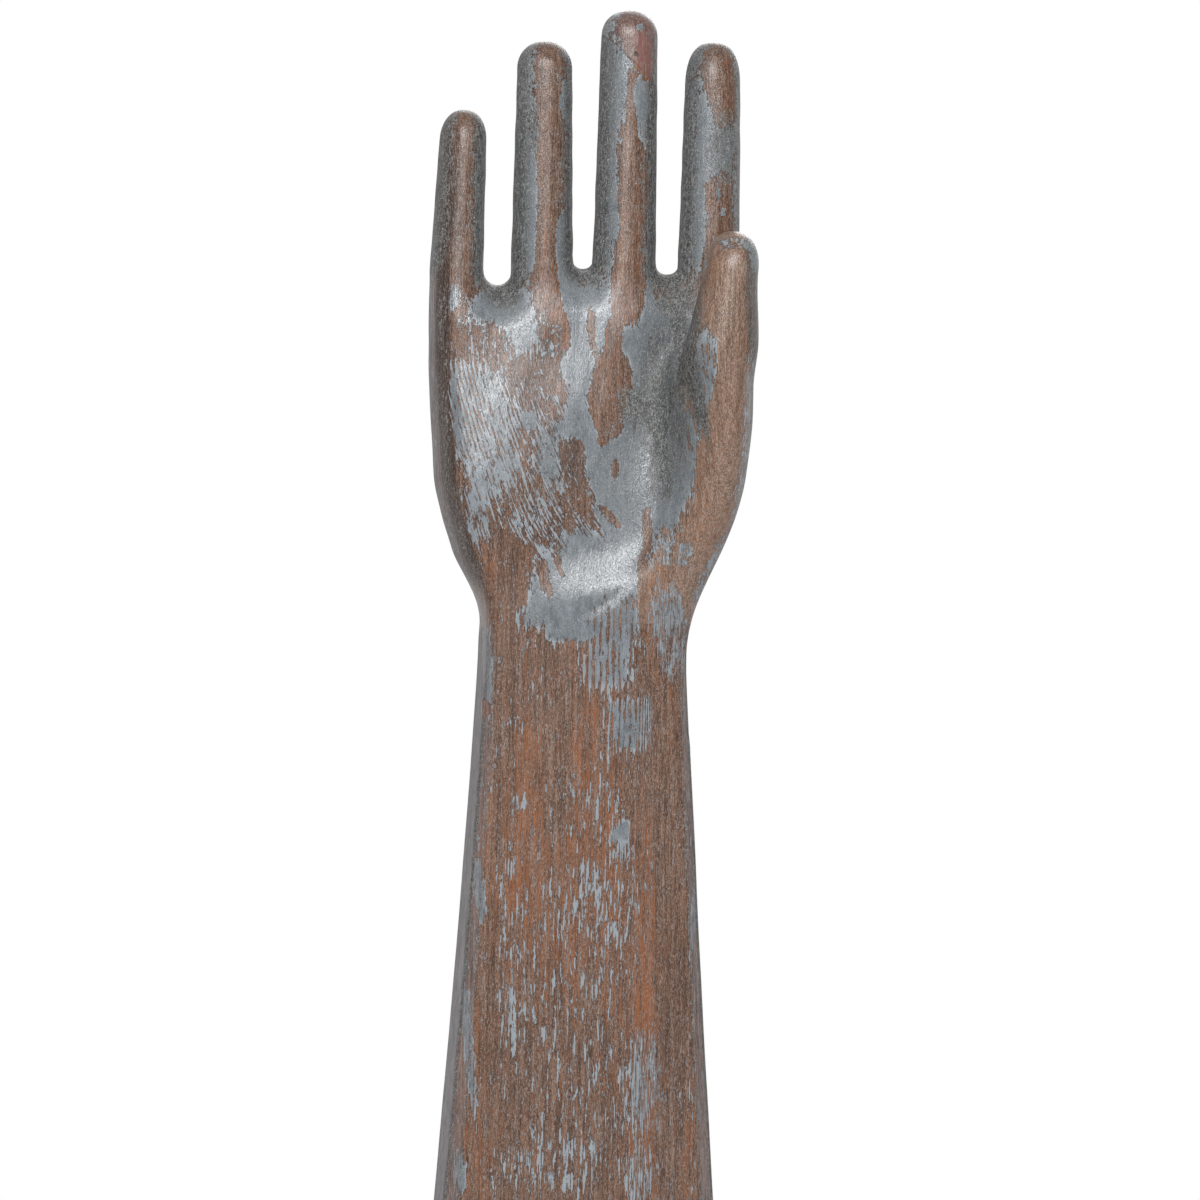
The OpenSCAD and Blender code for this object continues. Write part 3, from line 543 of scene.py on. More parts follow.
# The thumb block: rings from the foot of its seat to the tip, flat on the seat and round where it stands free
def thumbGrid():
    cells = mesh["thumbCells"]
    domeZ = thumbTopZ - thumb["dome"]
    tip = domeZ + thumb["dome"] * np.sin(np.pi / 2 * np.arange(1, mesh["tipRows"]) / mesh["tipRows"])
    z = np.concatenate([rowsBetween(seatLowZ, domeZ, mesh["thumbRow"]), tip])[:, None]
    n = np.arange(2 * cells)
    front = n <= cells
    t = ((1 - np.cos(np.pi * np.where(front, n, 2 * cells - n) / cells)) / 2)[None, :]
    free = clamp01((z - crotchZ) / thumb["freeRise"])
    dome = domed((z - thumbTopZ + thumb["dome"]) / thumb["dome"], thumb["domePower"])
    lowMid = (thumb["left"] + rightX(np.array(crotchZ))) / 2
    mid = lowMid + thumb["lean"] * clamp01((z - crotchZ) / (thumbTopZ - crotchZ)) ** 2
    half = mix((rightX(np.array(crotchZ)) - thumb["left"]) / 2, thumb["width"] / 2,
               ease(crotchZ, crotchZ + thumb["freeRise"], z))
    half = (half - thumb["narrowing"] / 2 * ease(crotchZ + thumb["freeRise"], domeZ, z)) * dome
    lean = thumb["leftIn"] * ease(crotchZ + 10, domeZ, z) * dome
    lean = lean - thumb["leftOut"] * (1 - ease(crotchZ, crotchZ + 22, z))
    left = np.where(z <= crotchZ, seatLeft(z), mid - half + lean)
    tuck = palm["sideRound"] * (1 - ease(seatLowZ, seatLowZ + thumb["tuckFade"], z))
    right = np.where(z <= crotchZ, rightX(z) - tuck, mid + half)
    split = thumb["thickness"] * thumb["backShare"] * ease(0.0, 1.0, free)
    crest = mix(thumb["foot"], thumb["thickness"],
                ease(seatLowZ - thumb["crestStart"], crotchZ + thumb["crestReach"], z))
    peak = mix(thumb["crestGlued"], 0.5, free)
    past = np.sqrt(np.maximum(0.0, 1 - (np.maximum(0.0, t - peak) / (1 - peak)) ** 2))
    glued = np.where(t < peak, np.sin(np.pi / 2 * t / peak), past)
    circle = np.sqrt(np.maximum(0.0, 1 - (2 * t - 1) ** 2))
    centre = thumb["seat"] + split
    depth = np.where(front, centre + (crest - split) * mix(glued, circle, free) * dome,
                     centre - split * circle * dome)
    x = mix(left, right, t)
    grid = np.stack([x, -depth, z * np.ones_like(x)], axis=-1)
    topBack = thumb["seat"] + thumb["thickness"] * thumb["backShare"]
    return grid, np.array([[lowMid + thumb["lean"], -topBack, thumbTopZ]])


# Both the palm and the foot of the thumb block are rounded off towards the outer edge near the wrist:
# the depth shrinks by the root of one less the square of what is left to the edge
def easedCorner(points):
    x, y, z = points.T
    share = ease(wristZ - 60, wristZ - 2, z) * (1 - ease(wristZ + 8, wristZ + 62, z))
    near = edgeTerm(rightX(z) - x, thumb["cornerRound"])
    out = points.copy()
    out[:, 1] = np.where(y < 0, y * np.sqrt(1 - thumb["cornerDepth"] * share * near), y)
    return out


# Closed rings with a flat first face and a point at the end
def ringFaces(rows, cells):
    index = np.arange(rows * cells).reshape(rows, cells)
    closed = np.concatenate([index, index[:, :1]], axis=1)
    cap = np.stack([closed[-1, :-1], closed[-1, 1:], np.full(cells, rows * cells)], axis=-1)
    return [gridFaces(closed), cap, [index[0, ::-1]]]


def makeThumb(name):
    grid, tip = thumbGrid()
    rows, cells = grid.shape[:2]
    points = np.concatenate([grid.reshape(-1, 3), tip])
    stray = mesh["wave"] * (0.5 + 0.5 * np.clip(lumps(points * np.array([1, 1, 0.4]), 13.0, 9), -1, 1))
    front = ease(thumb["seat"] + 0.5, thumb["seat"] + 4, -points[:, 1])
    points[:, 1] += stray * front
    return makePiece(name, easedCorner(points), ringFaces(rows, cells))


# The middle finger's tip as a full ring of both halves, from a little below the scarf
def makeFingertip(name):
    low = knuckleZ + fingers["length"][2] * 0.5
    front = fingerGrid(-1, 2, low)
    back = fingerGrid(1, 2, low)
    ring = np.concatenate([front, back[:, -2:0:-1]], axis=1)
    rows, cells = ring.shape[:2]
    tip = np.array([[fingerMid(2, fingerTop[2]), 0.0, fingerTop[2]]])
    points = strayed(np.concatenate([ring.reshape(-1, 3), tip]))
    return makePiece(name, points, ringFaces(rows, cells))


# Closed rod from start along a direction, as cutters for holes need: rings of given places and radii
def rodPoints(start, direction, stations, sides=48):
    axis = Vector(direction).normalized()
    across = axis.orthogonal().normalized()
    other = axis.cross(across)
    turn = 2 * np.pi * np.arange(sides) / sides
    rings = []
    for place, radius in stations:
        centre = np.array(start) + np.array(axis) * place
        rings.append(centre + radius * (np.cos(turn)[:, None] * np.array(across)
                                        + np.sin(turn)[:, None] * np.array(other)))
    return np.concatenate(rings), len(stations)


def rodFaces(first, rings, sides=48):
    index = first + np.arange(rings * sides).reshape(rings, sides)
    closed = np.concatenate([index, index[:, :1]], axis=1)
    return [*gridFaces(closed).tolist(), index[0, ::-1].tolist(), index[-1].tolist()]


def makeRods(name, rods):
    points, faces, count = [], [], 0
    for start, direction, stations in rods:
        own, rings = rodPoints(start, direction, stations)
        points.append(own)
        faces += rodFaces(count, rings)
        count += len(own)
    return makePiece(name, np.concatenate(points), [faces])


# The half space above the scarf's slant, held to the middle finger
def makeScarf(name, gap):
    room, turn = joints["scarfRoom"], math.radians(joints["scarfAngle"])
    place = Vector((scarfX, 0.0, scarfZ))
    u, w = Vector((math.cos(turn), 0, -math.sin(turn))), Vector((math.sin(turn), 0, math.cos(turn)))
    left = rootLeft[2] - fingers["slot"][1] / 2
    right = left + fingers["width"][2] + (fingers["slot"][1] + fingers["slot"][2]) / 2
    base = place + w * gap
    # the slant's line at the two sides of the finger, and a flat top above the tip
    lowZs = [base.z + (x - base.x) * (u.z / u.x) for x in (left, right)]
    top = fingerTop[2] + room
    corners = [(left, lowZs[0]), (right, lowZs[1]), (right, top), (left, top)]
    points = [(x, y, z) for y in (-room / 2, room / 2) for x, z in corners]
    faces = [[3, 2, 1, 0], [4, 5, 6, 7], [0, 1, 5, 4], [1, 2, 6, 5], [2, 3, 7, 6], [3, 0, 4, 7]]
    return makePiece(name, points, [[face[::-1] for face in faces]])


# One cut or common part of two pieces, applied to the first
def carve(piece, cutter, operation="DIFFERENCE"):
    change = piece.modifiers.new("cut", "BOOLEAN")
    change.operation, change.solver, change.object = operation, "MANIFOLD", cutter
    depsgraph = bpy.context.evaluated_depsgraph_get()
    done = bpy.data.meshes.new_from_object(piece.evaluated_get(depsgraph))
    piece.modifiers.remove(change)
    old = piece.data
    piece.data = done
    bpy.data.meshes.remove(old)


def dropPiece(piece):
    data = piece.data
    bpy.data.objects.remove(piece)
    bpy.data.meshes.remove(data)


# Fastenings and the scarf of the mended fingertip, in millimetres, as the solids have them
joints = {
    "gap": 0.05,
    "boardDowel": (4.0, 18.0),
    "boardDowels": ((-26.75, 96.96), (26.75, 96.96), (-16.25, 212.1), (16.25, 212.1), (2.0, 325.0)),
    "palmDowel": (25.0, 46.0),
    "thumbDowel": (4.0, 16.0),
    "thumbDowelDowns": (26.0, 9.0),
    "plug": (3.0, 22.0, 19.0, 0.3),
    "socket": (11.3, 60.1),
    "screw": (35.0, 11.0, 2.15, 27.3, 32.4, 0.35),
    "brad": (0.7, 13.1, 1.3, 1.9, 0.25),
    "bradTurn": (119.0, 114.0),
    "scarfDrop": 16.4,
    "scarfAngle": 43.0,
    "scarfRoom": 40.0,
    "hairline": 0.05,
    "past": 6.0,
}
scarfX = fingerMid(2, fingerTop[2])
scarfZ = fingerTop[2] - joints["scarfDrop"]


def dowelRods():
    radius, length = joints["boardDowel"]
    gap = joints["gap"]
    reach = length / 2 + gap
    palmIn, palmUp = joints["palmDowel"]
    places = [*joints["boardDowels"], (edgeLeft + palmIn, wristZ + palmUp)]
    return [((x, -reach, z), (0, 1, 0), [(0, radius + gap), (2 * reach, radius + gap)]) for x, z in places]


def thumbRods():
    radius, length = joints["thumbDowel"]
    gap = joints["gap"]
    reach = length / 2 + gap
    x = float((thumb["left"] + rightX(np.array(crotchZ))) / 2)
    return [((x, -thumb["seat"] - reach, crotchZ - down), (0, 1, 0),
             [(0, radius + gap), (2 * reach, radius + gap)]) for down in joints["thumbDowelDowns"]]


def footRods():
    radius, length = joints["socket"]
    x, y, shank, straight, point, pointRadius = joints["screw"]
    rods = [((0, 0, -joints["past"]), (0, 0, 1), [(0, radius), (length + joints["past"], radius)])]
    for sx in (-1, 1):
        for sy in (-1, 1):
            rods.append(((sx * x, sy * y, 0), (0, 0, 1),
                         [(-joints["past"], shank), (straight, shank), (point, pointRadius)]))
    return rods


def plugRod():
    radius, length, down, off = joints["plug"]
    z = np.array(wristZ - down)
    y = float(armChamfer(z) - armHalfDepth(z)) + off
    wide = radius + joints["gap"]
    return [((float(leftX(z)) - joints["past"], y, float(z)), (1, 0, 0),
             [(0, wide), (length + joints["past"] + joints["gap"], wide)])]


def bradRod(proud):
    radius, length, inward, up, sink = joints["brad"]
    tilt, swing = (math.radians(a) for a in joints["bradTurn"])
    way = (math.sin(tilt) * math.cos(swing), math.sin(tilt) * math.sin(swing), math.cos(tilt))
    start = (float(scarfX) + inward, -float(fingerDeep(2, np.array(scarfZ + up))) + sink, float(scarfZ) + up)
    return [(start, way, [(-proud, radius), (length, radius)])]


print("carving the pieces")
palmBoard = makeBoard("carved_palm", -1)
backBoard = makeBoard("carved_back", 1)
thumbPiece = makeThumb("carved_thumb")
fingertip = makeFingertip("mended_fingertip")
scarfAway = makeScarf("scarf_away", -joints["hairline"])
scarfKept = makeScarf("scarf_kept", joints["hairline"])
for board, rods in ((palmBoard, dowelRods() + footRods() + plugRod() + thumbRods()),
                    (backBoard, dowelRods() + footRods())):
    carve(board, scarfAway)
    cutter = makeRods("rods", rods)
    carve(board, cutter)
    dropPiece(cutter)
    cutter = makeRods("brad_hole", bradRod(0.0))
    carve(board, cutter)
    dropPiece(cutter)
cutter = makeRods("thumb_rods", thumbRods())
carve(thumbPiece, cutter)
dropPiece(cutter)
carve(fingertip, scarfKept, "INTERSECT")
cutter = makeRods("brad_hole", bradRod(joints["past"]))
carve(fingertip, cutter)
dropPiece(cutter)
dropPiece(scarfAway)
dropPiece(scarfKept)
carvedPieces = [palmBoard, backBoard, thumbPiece, fingertip]
for piece in carvedPieces:
    data = piece.data
    data.shade_smooth()
    data.set_sharp_from_angle(angle=math.radians(50))
    print(piece.name, len(data.vertices), "points")

# Where the paint and the wear lie. Places are pixels of the photograph, 1200 wide and 1200 high:
# (middle across, middle down, half width, half height, lean to the left in degrees, value, squareness)
photo = {
    "size": 1200,
    "distance": 2.0,
    "height": 0.384,         # metres that the frame shows at the target
    "target": Vector((0.0053, 0.0, 0.3192)),
    "turn": math.radians(-6.5),
    "roll": math.radians(0.99),
}
paintPlaces = {
    "littleRim": (481, 195, 7, 60, 0, 0.75, 2),
    "littleRimLow": (479, 262, 5, 26, 0, 0.6, 2),
    "ringLeft": (526, 180, 11, 105, 0, 0.75, 3),
    "ringStreak": (533, 125, 6, 30, 3, 0.1, 2),
    "ringTopRight": (567, 100, 8, 22, 0, 0.7, 2),
    "ringRim": (570, 180, 4, 50, 0, 0.45, 2),
    "ringTongue": (567, 256, 9, 46, 3, 0.85, 2.5),
    "middleLeft": (612, 158, 15, 112, -2, 0.9, 3.5),
    "middleSpot": (640, 27, 4, 4, 0, 0.9, 4),
    "middleRight": (642, 112, 8, 36, 2, 0.85, 3),
    "middleStrip": (630, 112, 3, 36, 0, -0.8, 3),
    "middleBrown": (634, 230, 14, 105, 3, -0.9, 4),
    "middleRightRim": (651, 250, 5, 70, -3, 0.7, 2.5),
    "scarfLine": (628, 62, 1.6, 17, 42, 0.8, 2),
    "indexLeft": (701, 190, 10, 85, -5, 0.6, 3),
    "indexBand": (710, 150, 8, 62, 12, 0.75, 3),
    "indexMiddle": (722, 152, 16, 26, 0, 0.5, 2.5),
    "indexHigh": (724, 108, 9, 17, 18, -0.8, 2),
    "indexLow": (722, 208, 15, 32, 5, -0.85, 3),
    "indexFleck": (718, 193, 2, 10, 5, 0.8, 2),
    "indexDot": (723, 212, 3, 3, 0, 0.8, 2),
    "webOnePaint": (502, 324, 33, 33, 4, 0.95, 2.5),
    "webOneSpill": (528, 330, 9, 12, 0, 0.5, 2),
    "webTwoLeft": (566, 268, 8, 44, 6, 0.95, 3),
    "webTwoLow": (578, 322, 9, 44, 8, 0.95, 3),
    "webTwoPale": (588, 300, 18, 13, 0, 0.85, 2.5),
    "webTwoRight": (604, 318, 9, 38, -14, 0.95, 3),
    "webTwoStreak": (592, 336, 4, 30, 5, -0.6, 2),
    "webTwoJoin": (580, 372, 17, 24, 0, 0.9, 2.5),
    "webTwoOuter": (613, 268, 6, 30, 0, 0.85, 3),
    "webTwoLeftJoin": (571, 385, 10, 26, 8, 0.85, 3),
    "ringRootFlecks": (548, 338, 16, 26, 0, -0.2, 2),
    "webThree": (655, 332, 36, 30, 0, 0.95, 3),
    "webThreeLow": (650, 372, 30, 22, 0, 0.9, 3),
    "middleRoot": (627, 282, 17, 44, 0, -0.95, 3.5),
    "middleRootTip": (613, 338, 8, 18, 4, -0.85, 2.5),
    "centre": (615, 455, 62, 56, 0, 0.78, 3),
    "centreRight": (650, 455, 42, 66, 0, 0.85, 3.5),
    "centreLow": (625, 520, 44, 34, 8, 0.74, 3),
    "centreLeft": (552, 455, 17, 28, 0, 0.55, 3),
    "island": (611, 386, 20, 32, -8, -0.95, 3),
    "islandLow": (607, 418, 14, 22, 14, -0.85, 2.5),
    "islandTail": (602, 441, 5, 6, 0, -0.7, 2),
    "centreBrown": (572, 458, 14, 20, 10, -0.62, 3),
    "centreBrownLow": (578, 490, 14, 24, 28, -0.32, 2.5),
    "strokeOne": (590, 520, 7, 34, 30, -0.45, 2.5),
    "strokeTwo": (611, 517, 3.5, 16, 44, -0.95, 3),
    "strokeThree": (566, 520, 10, 34, 24, -0.35, 2.5),
    "centreMark": (615, 470, 4, 12, 0, -0.5, 2),
    "cornerPatch": (664, 517, 12, 12, 0, 0.9, 6),
    "cornerBrown": (647, 530, 5, 22, 0, -0.85, 3),
    "belowCorner": (664, 545, 12, 22, 4, 0.0, 2),
    "thenarBit": (686, 549, 7, 9, 0, 0.3, 2.5),
    "thenarHook": (681, 562, 8, 4, 0, 0.3, 2.5),
    "seatFlecksHigh": (703, 378, 13, 50, -8, 0.34, 2.5),
    "seatFlecks": (688, 455, 9, 36, -4, 0.34, 2.5),
    "seatSmall": (690, 474, 3, 9, 0, 0.8, 3),
    "heel": (590, 580, 56, 44, -18, 0.8, 3),
    "heelLeft": (546, 600, 29, 26, 0, 0.85, 3),
    "heelNotch": (543, 575, 6, 22, 16, -0.9, 2.5),
    "heelNotchTwo": (557, 562, 3, 18, 22, -0.8, 2),
    "heelLow": (572, 624, 27, 18, 0, 0.85, 5),
    "heelStipple": (530, 617, 14, 10, 0, 0.35, 2),
    "heelRight": (617, 622, 20, 34, 0, 0.45, 3),
    "heelBand": (646, 603, 8, 46, 4, -0.7, 2.5),
    "wristRight": (668, 620, 18, 34, 0, 0.25, 2.5),
    "wristRightLow": (672, 655, 14, 24, 0, 0.0, 2.5),
    "rightContour": (712, 566, 7, 42, -27, 0.1, 2.5),
    "combHigh": (606, 664, 26, 26, 0, 0.28, 4),
    "combLow": (628, 724, 24, 28, 0, 0.3, 5),
    "combSolid": (628, 733, 9, 15, 0, 0.8, 5),
    "littleRoot": (451, 296, 8, 13, 0, 0.6, 2.5),
    "leftFlecks": (482, 352, 34, 34, 14, -0.3, 2),
    "leftStrokes": (482, 410, 38, 44, 17, 0.2, 2.5),
    # pale thin paint on the left of the palm, also a painted highlight for its sheen
    "leftBright": (464, 412, 14, 46, 12, 0.42, 2.5),
    "leftRim": (454, 412, 4, 36, 2, 0.95, 3),
    "leftPale": (490, 402, 11, 24, 14, 0.6, 2.5),
    "leftDots": (545, 392, 24, 26, 0, -0.3, 2),
    "leftSquare": (529, 421, 7, 9, 0, 0.95, 5),
    "leftLow": (494, 466, 30, 34, 17, 0.3, 2.5),
    "leftLower": (478, 528, 14, 44, 10, 0.2, 2.5),
    "middleLow": (530, 520, 30, 44, 20, -0.1, 2.5),
    "leftBare": (505, 572, 26, 40, 8, -0.8, 2.5),
    "thumbCap": (731, 244, 15, 7, 0, -0.1, 2.5),
    "thumbEdge": (748, 415, 5, 78, -4, -0.1, 2.5),
    "thumbEdgeLow": (740, 488, 5, 50, -10, -0.1, 2.5),
    "armPatch": (619, 833, 10, 12, 0, 1.7, 6),
    "armGroupOne": (514, 950, 16, 118, 2, -0.4, 3),
    "armBright": (512, 1026, 6, 36, 0, 0.2, 2.5),
    "armGroupTwo": (590, 918, 50, 58, 0, -0.36, 3),
    "armGroupTwoDense": (598, 916, 24, 36, 0, -0.1, 2.5),
    "armScatter": (565, 1030, 50, 100, 0, -0.52, 3),
    "armGroupThree": (640, 1086, 24, 56, 0, -0.2, 2.5),
    "armThreeDense": (641, 1095, 10, 34, 0, 0.1, 2.5),
    "armGroupFour": (550, 1163, 56, 28, 0, -0.22, 3),
    "armEdgeStreak": (636, 1176, 18, 30, 0, -0.1, 2.5),
    "armBitOne": (522, 722, 7, 10, 0, 0.1, 2),
    "armBitTwo": (575, 786, 5, 14, 0, 0.0, 2),
    "armBitThree": (520, 802, 7, 8, 0, 0.1, 2),
    "armBelowPatch": (622, 850, 10, 14, -12, 0.0, 2.5),
    "armMiddle": (600, 800, 24, 40, 0, -0.6, 2.5),
    "chamferHigh": (487, 672, 5, 42, 2, 0.75, 3),
    "chamferMiddle": (480, 893, 5, 32, 4, 0.75, 3),
    "chamferLow": (467, 1025, 5, 95, 5, 0.5, 3),
    "chamferLast": (460, 1172, 6, 24, 0, 0.6, 3),
    "rightLine": (694, 912, 3, 54, -5, 0.35, 2),
}
# Dark stippled grime and painted shade: the hollow beside the thumb, the palm's middle below it and the roots of
# the fingers in the crotches between them are darkened as painted shade as well as grime; the specks and flecks are
# grime alone
sootAndShadePlaces = {
    "hollow": (664, 386, 24, 66, 6, 0.75, 2.2),
    "hollowDeep": (658, 448, 22, 42, 14, 0.85, 2.2),
    "valley": (688, 360, 9, 86, 13, 0.95, 2.2),
    "valleyLow": (668, 470, 16, 34, 0, 0.55, 2),
    "hollowStippleAndShade": (640, 436, 22, 52, 10, 0.9, 2.2),
    "hollowLow": (648, 462, 17, 40, 10, 1.0, 2.2),
    "webOneCollar": (503, 286, 20, 24, 0, 0.95, 2.6),
    "webTwoCollar": (584, 270, 21, 17, 0, 0.85, 2.4),
    "webThreeSide": (676, 296, 22, 26, 0, 0.8, 2),
    "ringLeftDark": (533, 125, 6, 32, 0, 0.7, 2),
    "middleLeftDark": (604, 200, 6, 80, 0, 0.5, 2),
    "middleFlecks": (650, 130, 6, 24, 0, 0.8, 2),
    "indexStipple": (724, 150, 20, 46, 0, 0.6, 2),
    "centreDots": (552, 455, 12, 22, 0, 0.3, 2),
    "centreDirtAndShade": (622, 478, 34, 62, 6, 0.36, 2),
    "brownDark": (545, 490, 26, 30, 10, 0.3, 2),
    "heelDots": (530, 618, 12, 10, 0, 0.4, 2),
}
# Warmer (above 0) or darker (below 0) wood
tonePlaces = {
    "littleDark": (455, 190, 8, 80, 0, -0.7, 2),
    "ringOrange": (563, 318, 10, 38, 0, 0.7, 2),
    "ringRoot": (548, 270, 20, 60, 0, 0.1, 2),
    "middleRoot": (628, 280, 16, 60, 0, 0.25, 2),
    "islandPink": (611, 400, 24, 44, -6, 0.1, 2),
    "centreDark": (575, 462, 20, 30, 10, -0.5, 2),
    "thenar": (712, 490, 30, 90, 10, 0.45, 2),
    "thenarLow": (655, 590, 14, 60, 0, 0.6, 2),
    "leftWarm": (500, 585, 26, 44, 8, 0.2, 2),
    "armTop": (570, 700, 40, 80, 0, 0.15, 2),
    "armOrange": (555, 870, 70, 130, 0, 0.45, 2),
    "armGolden": (625, 980, 34, 200, 0, 0.45, 2),
    "armRight": (640, 925, 22, 110, 0, 0.5, 2),
    "armRightEdge": (675, 980, 20, 200, 0, -0.35, 2),
    "armLeftLow": (470, 1100, 18, 110, 2, 0.7, 2),
    "armLow": (560, 1100, 60, 90, 0, -0.1, 2),
    "redMend": (647, 54, 14, 26, 4, 1.15, 2.5),
}

# Where the strokes comb the paint into stripes, and where they break its edge more or less
combPlaces = {
    "combHigh": (606, 664, 26, 28, 0, 0.6, 4),
    "combLow": (628, 724, 24, 30, 0, 0.6, 4),
    "heelStrokes": (608, 626, 28, 24, 0, 0.75, 2.5),
    "leftStrokes": (466, 405, 24, 44, 16, 0.7, 2.5),
    "leftInner": (506, 430, 22, 44, 16, 0.35, 2.5),
    "seatStrokes": (700, 395, 14, 52, -8, 0.35, 2.5),
}
chipPlaces = {
    "centre": (630, 440, 60, 110, 0, 0.4, 3),
    "web": (580, 330, 40, 70, 0, 0.25, 3),
    "webOne": (500, 312, 34, 28, 0, 0.35, 3),
    "heel": (590, 580, 50, 40, 0, 0.62, 3),
}


# Pixel of the photograph at which each point lies, for its camera at a distance from the target
def photoPlace(points):
    turn, roll = photo["turn"], photo["roll"]
    eye = photo["target"] + photo["distance"] * Vector((math.sin(turn), -math.cos(turn), 0))
    view = Matrix.Rotation(turn, 3, "Z") @ Matrix.Rotation(math.pi / 2, 3, "X") @ Matrix.Rotation(roll, 3, "Z")
    local = (points * mm - np.array(eye)) @ np.array(view)
    scale = photo["size"] * photo["distance"] / photo["height"]
    half = photo["size"] / 2
    return half + scale * local[:, 0] / -local[:, 2], half - scale * local[:, 1] / -local[:, 2]


# Lays soft-edged patches over a value: each is 1 within a squarish oval and falls to 0 over its rim
def layPlaces(value, px, py, places, rim=0.38):
    for x, y, halfWide, halfHigh, lean, level, square in places.values():
        turn = math.radians(lean)
        along = ((px - x) * math.sin(turn) + (py - y) * math.cos(turn)) / halfHigh
        across = ((px - x) * math.cos(turn) - (py - y) * math.sin(turn)) / halfWide
        far = (np.abs(across) ** square + np.abs(along) ** square) ** (1 / square)
        value = mix(value, level, 1 - ease(1 - rim, 1 + rim, far))
    return value


# Shares of the wear, and of the painted shade and painted rim light, that follow the shape itself
wear = {
    "baseArm": -0.95,
    "basePalm": -0.56,
    "baseFinger": -1.05,
    "baseThumb": -1.1,
    "collar": 6.0,
    "collarDrop": (1.0, 1.15, 0.62),    # below each slot: above 1 its grime and painted shade fade sooner than sideways
    # width of the pale edge strip of the forearm: weathering with painted rim light
    "strip": 0.8,
    "handTone": 0.22,        # how much less warm the hand's wood is than the forearm's
    "sidePaint": 0.3,
    "sideSootAndShade": 0.66,
    "fleck": 1.35,           # how strongly streaks break the paint's patches on the arm
    "bandOut": (1.0, 2.0),   # the dark band along the palm's left side lies between these distances
    "bandIn": (4.8, 6.4),
    "chipping": 0.85,        # how strongly the carver's strokes break the paint's edge
    "fingerChipping": 0.3,
    "strokeLow": 318.0,
    "strokeHigh": 402.0,
    "strokeFade": 16.0,
    "strokeLeft": 0.29,
    "strokeRight": 0.75,
}


# How far a point lies across its finger, from 0 in its middle to 1 at its sides, and 0 below the fingers
def fingerSide(x, z):
    mids = np.stack([fingerMid(i, z) for i in range(4)])
    halves = np.stack([np.maximum(1.0, fingerHalf(i, z)) for i in range(4)])
    n = np.abs(x - mids).argmin(axis=0)
    take = np.arange(len(x))
    return (x - mids[n, take]) / halves[n, take]


# Grime of the slots, with painted shade in the crotches between the fingers: it falls off with the distance from
# their round bottoms and straight walls
def slotGrimeAndShade(x, z):
    grimeAndShade = 0.0
    for j in range(3):
        far = np.hypot(x - slotX[j], np.maximum(0.0, slotZ[j] - z) * wear["collarDrop"][j]) - slotR[j]
        grimeAndShade = np.maximum(grimeAndShade, np.exp(-np.maximum(0.0, far) ** 2 / wear["collar"] ** 2))
    return grimeAndShade


# Slant of the carver's strokes: their distance across is x less the slant summed up along the height
def strokeAcross(x, z):
    heights = np.linspace(0.0, fingerTop[2], 900)
    share = ease(wear["strokeLow"], wear["strokeLow"] + wear["strokeFade"], heights)
    share *= 1 - ease(wear["strokeHigh"] - wear["strokeFade"], wear["strokeHigh"], heights)
    summed = np.cumsum(share) * (heights[1] - heights[0])
    middle = np.interp((wear["strokeLow"] + wear["strokeHigh"]) / 2, heights, summed)
    slant = mix(wear["strokeLeft"], wear["strokeRight"], ease(-45.0, 25.0, x)) * (1 - ease(15.0, 35.0, x))
    return x + slant * (np.interp(z, heights, summed) - middle)
